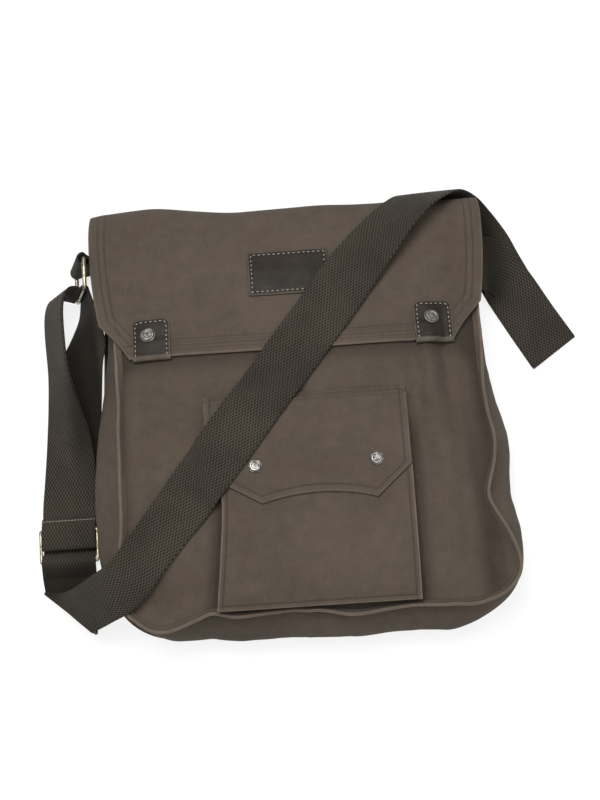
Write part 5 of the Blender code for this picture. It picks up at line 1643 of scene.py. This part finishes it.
class BagLook(bpy.types.PropertyGroup):
    """Colours and small sizes of the bag's materials and stitching."""

    canvas: colour_prop("Canvas", "Colour of the washed canvas", (0.080, 0.0630, 0.0485))
    webbing_dark: colour_prop("Webbing ground", "Colour between the webbing's knots", (0.0150, 0.0122, 0.0090))
    webbing_light: colour_prop("Webbing knots", "Colour of the webbing's raised knots", (0.085, 0.0725, 0.0560))
    leather: colour_prop("Leather", "Colour of the tabs and the patch", (0.019, 0.0140, 0.0100))
    leather_worn: colour_prop("Worn leather", "Colour of rubbed leather edges", (0.13, 0.105, 0.082))
    brass: colour_prop("Brass", "Colour of the rings and the slider", (0.40, 0.36, 0.25))
    nickel: colour_prop("Nickel", "Colour of the snap studs", (0.36, 0.345, 0.32))
    dark_thread: colour_prop("Dark thread", "Colour of the canvas topstitching", (0.050, 0.038, 0.030))
    pale_thread: colour_prop("Pale thread", "Colour of the leather's stitching", (0.34, 0.29, 0.23))
    weave: length_prop("Weave", "Width of one repeat of the canvas weave", 0.0011, 0.0004)
    stitch_pitch: length_prop("Stitch pitch", "From one topstitch to the next", 0.0034, 0.001)
    stitch_length: length_prop("Stitch length", "Visible length of one topstitch", 0.0026, 0.0005)
    thread: length_prop("Thread", "Thickness of the topstitching thread", 0.0007, 0.0002)


class BagLight(bpy.types.PropertyGroup):
    """Strength of the studio's lights and the colour of its floor."""

    sky: bpy.props.FloatProperty(
        name="Surroundings", description="Strength of the even white surroundings",
        default=0.36, min=0)
    key: bpy.props.FloatProperty(
        name="Key light", description="Power of the large lamp over the mouth",
        default=40.0, min=0, unit="POWER")
    fill: bpy.props.FloatProperty(
        name="Fill light", description="Power of the lamp over the foot",
        default=12.0, min=0, unit="POWER")
    floor: colour_prop("Floor", "Colour of the floor", (0.22, 0.22, 0.22))


class BAG_OT_body(bpy.types.Operator):
    """Make the front, the back and the gusset of the bag."""

    bl_idname = "bag.body"
    bl_label = "Body"
    bl_options = {"REGISTER", "UNDO"}

    def execute(self, context):
        shades = look(context)
        front = panel_grid(
            FRONT_WIDTH, FRONT_BOTTOM_Y, FRONT_CORNER, lambda x, y: seam_wave(x, y, 2), front_height)
        back = panel_grid(BACK_WIDTH, BACK_BOTTOM_Y, BACK_CORNER, back_outline_wave, lambda x, y: 0.0)
        front_loop, back_loop = u_loop(front), u_loop(back)
        columns = gusset_columns(front_loop, back_loop)
        rows = [[column[k] for column in columns] for k in range(GUSSET_LEVELS + 1)]
        plain = canvas_finish("canvas", shades.canvas, shades.weave)
        made["front_grid"], made["front_loop"], made["back_loop"] = front, front_loop, back_loop
        made["panel_tree"] = grid_tree(front)
        tucked = [[point.copy() for point in row] for row in front]
        for point, out in zip(u_loop(tucked), outward(front_loop)):
            point += out * PANEL_TUCK
        # The front's canvas carries painted shade beside the pocket, under the flap's edge and along the side
        # seams
        with_painted_shade = canvas_finish("canvas_front", shades.canvas, shades.weave, with_painted_shade=True)
        marks = {"painted_shade": [[front_painted_shade(point.x, point.y) for point in row] for row in front]}
        piece = sheet("bag_front", lifted_grid(tucked), CANVAS, with_painted_shade, marks=marks)
        stands_for(piece, "canvas", "front_panel")
        flipped = [list(reversed(row)) for row in back]
        stands_for(sheet("bag_back", lifted_grid(flipped), CANVAS, plain), "canvas", "back_panel")
        piece = sheet("bag_gusset", lifted_grid(rows), CANVAS, plain, level_rims=True)
        stands_for(piece, "canvas", "gusset")
        return {"FINISHED"}


class BAG_OT_welts(bpy.types.Operator):
    """Make the pinched seams that stand along the front and the back."""

    bl_idname = "bag.welts"
    bl_label = "Welts"
    bl_options = {"REGISTER", "UNDO"}

    def execute(self, context):
        shades = look(context)
        # The welts take a slightly lighter copy of the canvas and strong pale crests: partly wear, partly
        # painted highlight on the ridges
        worn = canvas_finish("canvas_welt", scaled(shades.canvas, 1.05), shades.weave, wear=0.80)
        loop = made["front_loop"]
        sections, crest = [], []
        for point, out in zip(loop, outward(loop)):
            lean = math.radians(table(WELT_LEAN, point.y / HALF_RISE, 2 if point.x > 0 else 1))
            sway = soft_noise(point.x * 2, point.y * 2, 0.2, 0.05)
            width = WELT_WIDTH * (1 + 0.10 * soft_noise(point.x, point.y, 0.8, 0.02))
            section = welt_section(point, out, lean + 0.22 * sway, WELT_SEAT, width)
            sections.append([raised(p) for p in section])
            crest.append(raised(section[-2]) + Vector((0, 0, 0.0002)))
        made["front_crest"] = crest
        marks = {"edge": [row[2] for row in WELT_PROFILE] * len(sections)}
        stands_for(sweep("bag_front_welt", sections, worn, marks=marks), "canvas", "front_welt")
        loop = made["back_loop"]
        sections = []
        for point, out in zip(loop, outward(loop)):
            root = point + Vector((0, 0, WELT_THICK / 2 + CLEAR))
            sections.append([raised(p) for p in welt_section(root, out, 0.0, WELT_SEAT * 2.2)])
        marks = {"edge": [row[2] for row in WELT_PROFILE] * len(sections)}
        stands_for(sweep("bag_back_welt", sections, worn, marks=marks), "canvas", "back_welt")
        return {"FINISHED"}


class BAG_OT_flap(bpy.types.Operator):
    """Make the main flap, rolled over the mouth, with its turned hems."""

    bl_idname = "bag.flap"
    bl_label = "Main flap"
    bl_options = {"REGISTER", "UNDO"}

    def execute(self, context):
        shades = look(context)
        grid, edges = flap_grid(made["panel_tree"])
        # The flap's pale edges are partly wear and partly painted highlight
        cloth = canvas_finish(
            "canvas_flap", shades.canvas, shades.weave, FLAP_SIDE_ROWS, hem=FLAP_HEM_BAND, wear=0.50)
        made["flap_tree"] = grid_tree(grid)
        piece = sheet("bag_flap", lifted_grid(grid), CANVAS, cloth, marks={"edge": edges})
        stands_for(piece, "canvas", "main_flap")
        return {"FINISHED"}


class BAG_OT_pocket(bpy.types.Operator):
    """Make the front pocket and its pointed flap."""

    bl_idname = "bag.pocket"
    bl_label = "Front pocket"
    bl_options = {"REGISTER", "UNDO"}

    def execute(self, context):
        shades = look(context)
        grid, edges = pocket_grid(made["panel_tree"])
        # The pocket's pale edges are partly wear and partly painted highlight
        cloth = canvas_finish("canvas_pocket", shades.canvas, shades.weave, (POCKET_ROW,), wear=0.75)
        piece = sheet("bag_pocket", lifted_grid(grid), CANVAS, cloth, marks={"edge": edges})
        stands_for(piece, "canvas", "pocket")
        made["pocket_tree"] = grid_tree(made["front_grid"], grid)
        grid, edges = pocket_flap_grid(made["pocket_tree"])
        # The pocket flap's pale edges are partly wear and partly painted highlight
        cloth = canvas_finish(
            "canvas_pocket_flap", shades.canvas, shades.weave, (POCKET_FLAP_ROW,), hem=POCKET_FLAP_HEM,
            wear=0.30)
        piece = sheet("bag_pocket_flap", lifted_grid(grid), CANVAS, cloth, marks={"edge": edges})
        stands_for(piece, "canvas", "pocket_flap")
        made["pocket_flap_tree"] = grid_tree(grid)
        return {"FINISHED"}


class BAG_OT_leather(bpy.types.Operator):
    """Make the leather tabs and the bare leather patch."""

    bl_idname = "bag.leather"
    bl_label = "Leather"
    bl_options = {"REGISTER", "UNDO"}

    def execute(self, context):
        shades = look(context)
        hide = leather_finish("leather", shades.leather, shades.leather_worn)
        for side, sign in (("left", -1), ("right", 1)):
            grid, edges = tab_grid(made["flap_tree"], sign * TAB_X)
            piece = sheet(f"bag_tab_{side}", lifted_grid(grid), LEATHER, hide, marks={"edge": edges})
            stands_for(piece, "leather", f"flap_tab_{side}")
            made[f"tab_tree_{side}"] = grid_tree(grid)
        grid, edges = label_grid(made["flap_tree"])
        piece = sheet("bag_patch", lifted_grid(grid), LEATHER, hide, marks={"edge": edges})
        stands_for(piece, "leather", "label_patch")
        made["patch_tree"] = grid_tree(grid)
        return {"FINISHED"}


class BAG_OT_studs(bpy.types.Operator):
    """Make the snap studs on the tabs and on the pocket's flap."""

    bl_idname = "bag.studs"
    bl_label = "Snap studs"
    bl_options = {"REGISTER", "UNDO"}

    def execute(self, context):
        shades = look(context)
        bright = metal_finish("nickel", shades.nickel, scaled(shades.nickel, 0.30), 0.24, 0.38)
        cap = [(share, rise * STUD_HEIGHT) for share, rise in CAP_PROFILE]
        for side, sign in (("left", -1), ("right", 1)):
            x = sign * TAB_X + STUD_SHIFT
            seat = square_to(made[f"tab_tree_{side}"], x, STUD_Y, STUD_DIAMETER / 2)
            piece = turned(f"bag_flap_stud_{side}", seat, STUD_DIAMETER / 2, cap, bright)
            stands_for(piece, "nickel", f"flap_stud_{side}")
            x = POCKET_STUD_MIDDLE_X + sign * POCKET_STUD_X
            seat = square_to(made["pocket_flap_tree"], x, POCKET_STUD_Y, POCKET_STUD_DIAMETER / 2)
            piece = turned(f"bag_pocket_stud_{side}", seat, POCKET_STUD_DIAMETER / 2, cap, bright)
            stands_for(piece, "nickel", f"pocket_stud_{side}")
        return {"FINISHED"}


class BAG_OT_fittings(bpy.types.Operator):
    """Make the wire rings, their webbing loops and the slider."""

    bl_idname = "bag.fittings"
    bl_label = "Rings and slider"
    bl_options = {"REGISTER", "UNDO"}

    def execute(self, context):
        shades = look(context)
        brass = metal_finish("antique_brass", shades.brass, scaled(shades.brass, 0.35), 0.22, 0.26)
        webbing = webbing_finish("webbing_loop", shades.webbing_dark, shades.webbing_light)
        stands_for(wire_ring("bag_ring_left", LEFT_RING, brass), "antique_brass", "ring_left")
        stands_for(wire_ring("bag_ring_right", RIGHT_RING, brass), "antique_brass", "ring_right")
        tree = world_tree([made["bag_gusset"], made["bag_flap"]])

        def left_wall(lane, ply, gap):
            z = LOOP_SEAT_Z + lane * LOOP_SEAT_SPAN
            out = []
            for sign in (1, -1):
                y = LEFT_RING[1] * HALF_RISE + (RING_SHORT - RING_WIRE) / 2 + ply.y * gap * sign
                hit = tree.ray_cast(Vector((-2 * HALF_SPAN, y, z)), Vector((1, 0, 0)))[0]
                out.append(Vector((hit.x - LOOP_CLEAR, y, z)))
            return out

        def right_wall(lane, ply, gap):
            y = RIGHT_RING[1] * HALF_RISE + lane * STRAP_WIDTH
            bar_x = RIGHT_RING[0] * HALF_SPAN - RING_SHORT / 2
            middle_z = RIGHT_RING[2] * DEPTH + lift(bar_x - RING_SHORT / 2, y)
            out = []
            for sign in (1, -1):
                z = middle_z + ply.z * gap * sign
                hit = tree.ray_cast(Vector((bar_x, y, z)), Vector((-1, 0, 0)))[0]
                out.append(Vector((hit.x + LOOP_CLEAR, y, z)))
            return out

        piece = webbing_loop("bag_loop_left", LEFT_RING, left_wall, (0.75, 0.25), webbing)
        stands_for(piece, "webbing", "ring_loop_left")
        piece = webbing_loop("bag_loop_right", RIGHT_RING, right_wall, (0.6, 0.15), webbing)
        stands_for(piece, "webbing", "ring_loop_right")

        slider_x, centre_y = LEFT_UP[0][0] * HALF_SPAN, LEFT_UP[0][1] * HALF_RISE
        middle_z = (LEFT_UP[0][2] + LEFT_OUT[-1][2]) / 2 * DEPTH
        half = (STRAP_WIDTH + RING_PLAY) / 2
        bar_y = (SLIDER_LENGTH - SLIDER_BAR) / 2
        outline = []
        for quarter in range(4):
            sx = 1 if quarter in (0, 3) else -1
            sy = 1 if quarter in (0, 1) else -1
            for k in range(7):
                angle = math.pi / 2 * (quarter + k / 6)
                x = slider_x + sx * (half + SLIDER_BAR / 2 - SLIDER_CORNER)
                y = centre_y + sy * (bar_y - SLIDER_CORNER)
                outline.append((x + SLIDER_CORNER * math.cos(angle), y + SLIDER_CORNER * math.sin(angle)))
        frame_bars = [rod_section(outline, k, middle_z) for k in range(len(outline))]
        piece = sweep("bag_slider", frame_bars, brass, closed=True)
        cross = []
        for k in range(2):
            x = slider_x + (half + SLIDER_BAR * 0.3) * (2 * k - 1)
            section = []
            for j in range(12):
                turn = 2 * math.pi * j / 12
                y = centre_y + SLIDER_BAR / 2 * math.cos(turn)
                section.append(Vector((x, y, middle_z + SLIDER_THICK / 2 * math.sin(turn))))
            cross.append(section)
        bar = sweep("bag_slider_bar", cross, brass)
        stands_for(piece, "antique_brass", "strap_slider")
        stands_for(bar, "antique_brass")
        return {"FINISHED"}


def rod_section(outline, k, z):
    """A rounded section of the slider's outer frame at one point of its outline."""
    here = Vector((*outline[k], z))
    after = Vector((*outline[(k + 1) % len(outline)], z))
    before = Vector((*outline[k - 1], z))
    along = (after - before).normalized()
    side = Vector((along.y, -along.x, 0))
    section = []
    for j in range(12):
        turn = 2 * math.pi * j / 12
        flat = abs(math.cos(turn)) ** 0.6 * math.copysign(1, math.cos(turn))
        tall = abs(math.sin(turn)) ** 0.6 * math.copysign(1, math.sin(turn))
        section.append(here + side * flat * SLIDER_BAR / 2 + Vector((0, 0, tall * SLIDER_THICK / 2)))
    return section


class BAG_OT_strap(bpy.types.Operator):
    """Lay the shoulder strap round its rings, across the front and under the right corner."""

    bl_idname = "bag.strap"
    bl_label = "Shoulder strap"
    bl_options = {"REGISTER", "UNDO"}

    def execute(self, context):
        shades = look(context)
        webbing = webbing_finish("webbing", shades.webbing_dark, shades.webbing_light, painted_webbing_shade=True)
        names = ["bag_front", "bag_gusset", "bag_front_welt", "bag_flap", "bag_pocket",
                 "bag_pocket_flap", "bag_patch", "bag_tab_left", "bag_tab_right"]
        grid = strap_grid(world_tree([made[name] for name in names]))
        # Painted shade on the strap where it lies in shadow by the gusset, at the crease and past the mouth
        marks = {"painted_webbing_shade": [[painted_webbing_shade_share(point) for point in row] for row in grid]}
        piece = sheet("bag_strap", grid, STRAP_THICK, webbing, outer_share=0.5, marks=marks, straight=True)
        stands_for(piece, "webbing", "shoulder_strap")
        return {"FINISHED"}


class BAG_OT_stitching(bpy.types.Operator):
    """Sew the topstitching of the canvas, the leather and the webbing."""

    bl_idname = "bag.stitching"
    bl_label = "Stitching"
    bl_options = {"REGISTER", "UNDO"}

    def execute(self, context):
        shades = look(context)
        dark = thread_finish("thread_dark", shades.dark_thread)
        pale = thread_finish("thread_pale", shades.pale_thread)
        plain = (shades.stitch_pitch, shades.stitch_length, shades.thread)
        flap = made["flap_tree"]
        rows = []
        for inset in FLAP_SIDE_ROWS:
            low = FLAP_LOW_Y + FLAP_CHAMFER_Y * (1 - inset / FLAP_CHAMFER_X) + 0.006
            for sign in (-1, 1):
                up = np.linspace(low, MOUTH_Y + 0.004, 120)
                rows.append(on_top(flap, [(flap_x(sign, y) - sign * inset, y) for y in up]))
        for inset in FLAP_FOOT_ROWS:
            reach = FLAP_HALF - FLAP_CHAMFER_X + inset * 0.5
            y = FLAP_LOW_Y + inset
            rows.append(on_top(flap, [
                (x, y + FLAP_BOW * (x / FLAP_HALF) ** 2) for x in np.linspace(-reach, reach, 160)]))
        piece = stitches("bag_flap_stitches", rows, *plain, dark, 3)
        stands_for(piece, "canvas")

        pocket = made["pocket_tree"]
        half = POCKET_WIDTH / 2 - POCKET_ROW
        left, right = POCKET_X - half, POCKET_X + half
        low = POCKET_LOW_Y + POCKET_ROW
        rows = [
            on_top(pocket, [
                (pocket_x(-half, y), y) for y in np.linspace(POCKET_TOP_Y - 0.02, low, 120)]),
            on_top(pocket, between((left, low), (right, low), 60)),
            on_top(pocket, between((right, low), (right, POCKET_TOP_Y - 0.02))),
        ]
        flap_tree = made["pocket_flap_tree"]
        half = POCKET_FLAP_WIDTH / 2 - POCKET_FLAP_ROW
        left, right = POCKET_X - half, POCKET_X + half
        for x in (right, left):
            side = between((x, POCKET_FLAP_TOP_Y - 0.002), (x, POCKET_FLAP_SIDE_Y + 0.004))
            rows.append(on_top(flap_tree, side))
        foot = [(x, pocket_flap_low_edge(x) + POCKET_FLAP_FOOT_ROW) for x in np.linspace(left, right, 120)]
        rows.append(on_top(flap_tree, foot))
        for drop in POCKET_FLAP_TOP_ROWS:
            y = POCKET_FLAP_TOP_Y - drop
            rows.append(on_top(flap_tree, between((left, y), (right, y), 60)))
        piece = stitches("bag_pocket_stitches", rows, *plain, dark, 5)
        stands_for(piece, "canvas")

        panel = made["panel_tree"]
        rows = []
        for sign in (-1, 1):
            x = sign * (POCKET_WIDTH / 2 + POCKET_SIDE_ROW)
            down = np.linspace(POCKET_TOP_Y - 0.03, POCKET_LOW_Y + 0.01, 120)
            rows.append(on_top(panel, [(pocket_x(x, y), y) for y in down]))
        crest = made["front_crest"]
        rows.append([p for p in crest if p.y < 0.06])
        piece = stitches("bag_seam_stitches", rows, *plain, dark, 7)
        stands_for(piece, "canvas")

        rows = []
        inset = LEATHER_ROW
        for side, sign in (("left", -1), ("right", 1)):
            tree = made[f"tab_tree_{side}"]
            left, right = sign * TAB_X - TAB_WIDTH / 2 + inset, sign * TAB_X + TAB_WIDTH / 2 - inset
            top = TAB_TOP_Y - inset
            round_off = TAB_CORNER - inset
            path = [(left, flap_low_edge(left) + 0.002), (left, top - round_off)]
            for k in range(1, 6):
                angle = math.pi - math.pi / 2 * k / 6
                x = left + round_off + round_off * math.cos(angle)
                path.append((x, top - round_off + round_off * math.sin(angle)))
            path.append((left + round_off, top))
            mirrored = [(left + right - x, y) for x, y in reversed(path)]
            mirrored[-1] = (right, flap_low_edge(right) + 0.002)
            rows.append(on_top(tree, along_path(path + mirrored, 8)))
        w, h = LABEL_WIDTH / 2 - inset, LABEL_HEIGHT / 2 - inset
        ring = [(x, LABEL_Y + y) for x, y in ((-w, -h), (-w, h), (w, h), (w, -h), (-w, -h))]
        rows.append(on_top(made["patch_tree"], along_path(ring, 30)))
        piece = stitches("bag_leather_stitches", rows, *LEATHER_STITCHES, pale, 11)
        stands_for(piece, "leather")

        y = LEFT_OUT[0][1] * HALF_RISE - 0.002
        x = LEFT_OUT[0][0] * HALF_SPAN
        strap = world_tree([made["bag_strap"]])
        row = []
        for k in range(41):
            at_x = x - STRAP_WIDTH / 2 + 0.001 + (STRAP_WIDTH - 0.002) * k / 40
            z = top_of(strap, at_x, y)
            if z is not None:
                row.append(Vector((at_x, y, z + 0.0001)))
        piece = stitches("bag_strap_stitches", [row], *WEBBING_STITCHES, pale, 13)
        stands_for(piece, "webbing")
        return {"FINISHED"}


class BAG_OT_stage(bpy.types.Operator):
    """Set the floor, the soft studio light and the camera."""

    bl_idname = "bag.stage"
    bl_label = "Stage"
    bl_options = {"REGISTER", "UNDO"}

    def execute(self, context):
        light = context.scene.bag_light
        floor = bpy.data.meshes.new("floor")
        corners = [(x * FLOOR_HALF, y * FLOOR_HALF, 0) for x, y in ((-1, -1), (1, -1), (1, 1), (-1, 1))]
        floor.from_pydata(corners, [], [(0, 1, 2, 3)])
        floor.materials.append(plain_finish("floor", light.floor, FLOOR_ROUGHNESS, FLOOR_GLOW))
        ground = bpy.data.objects.new("floor", floor)
        context.scene.collection.objects.link(ground)

        world = bpy.data.worlds.new("studio")
        world.use_nodes = True
        world.node_tree.nodes["Background"].inputs[0].default_value = (1.0, 1.0, 1.0, 1.0)
        world.node_tree.nodes["Background"].inputs[1].default_value = light.sky
        context.scene.world = world
        for name, power, spot, wide in (
            ("key", light.key, KEY_SPOT, KEY_WIDTH),
            ("fill", light.fill, FILL_SPOT, FILL_WIDTH),
        ):
            lamp = bpy.data.lights.new(name, "AREA")
            lamp.energy = power
            lamp.size = wide
            thing = bpy.data.objects.new(name, lamp)
            thing.matrix_world = aimed(spot, LAMP_AIM)
            context.scene.collection.objects.link(thing)

        back = Vector((0, -math.cos(VIEW_RISE), math.sin(VIEW_RISE)))
        level_up = Vector((0, math.sin(VIEW_RISE), math.cos(VIEW_RISE)))
        side = Vector((1, 0, 0))
        right = side * math.cos(VIEW_ROLL) - level_up * math.sin(VIEW_ROLL)
        up = side * math.sin(VIEW_ROLL) + level_up * math.cos(VIEW_ROLL)
        camera = bpy.data.cameras.new("camera")
        camera.sensor_fit = "VERTICAL"
        camera.sensor_height = SENSOR_HEIGHT
        camera.lens = FOCAL_PIXELS * camera.sensor_height / PICTURE_HEIGHT
        camera.shift_x = (PICTURE_WIDTH / 2 - AIM_ACROSS) / PICTURE_HEIGHT
        camera.shift_y = (AIM_DOWN - PICTURE_HEIGHT / 2) / PICTURE_HEIGHT
        camera.clip_start = 0.05
        viewer = bpy.data.objects.new("camera", camera)
        spot = VIEW_AIM + back * VIEW_DISTANCE
        viewer.matrix_world = Matrix((
            (right.x, up.x, back.x, spot.x),
            (right.y, up.y, back.y, spot.y),
            (right.z, up.z, back.z, spot.z),
            (0, 0, 0, 1)))
        context.scene.collection.objects.link(viewer)
        context.scene.camera = viewer
        context.scene.view_settings.view_transform = "Standard"
        return {"FINISHED"}


def aimed(spot, target):
    """Where a lamp stands, turned so that it shines at a target."""
    turn = (target - spot).to_track_quat("-Z", "Y")
    return Matrix.Translation(spot) @ turn.to_matrix().to_4x4()


class BAG_PT_panel(bpy.types.Panel):
    """The bag's pieces, in the order in which they are made."""

    bl_idname = "BAG_PT_panel"
    bl_label = "Canvas bag"
    bl_space_type = "VIEW_3D"
    bl_region_type = "UI"
    bl_category = "Bag"

    def draw(self, context):
        column = self.layout.column()
        for step in STEPS:
            column.operator(step.bl_idname)
        for group in (context.scene.bag_look, context.scene.bag_light):
            for key in group.__annotations__:
                column.prop(group, key)


STEPS = (
    BAG_OT_body, BAG_OT_welts, BAG_OT_flap, BAG_OT_pocket, BAG_OT_leather, BAG_OT_studs, BAG_OT_fittings,
    BAG_OT_strap, BAG_OT_stitching, BAG_OT_stage,
)


def register():
    for group in (BagLook, BagLight, *STEPS, BAG_PT_panel):
        bpy.utils.register_class(group)
    bpy.types.Scene.bag_look = bpy.props.PointerProperty(type=BagLook)
    bpy.types.Scene.bag_light = bpy.props.PointerProperty(type=BagLight)


def unregister():
    del bpy.types.Scene.bag_light
    del bpy.types.Scene.bag_look
    for group in reversed((BagLook, BagLight, *STEPS, BAG_PT_panel)):
        bpy.utils.unregister_class(group)


def main():
    register()
    for step in STEPS:
        area, name = step.bl_idname.split(".")
        getattr(getattr(bpy.ops, area), name)()


if __name__ == "__main__":
    main()
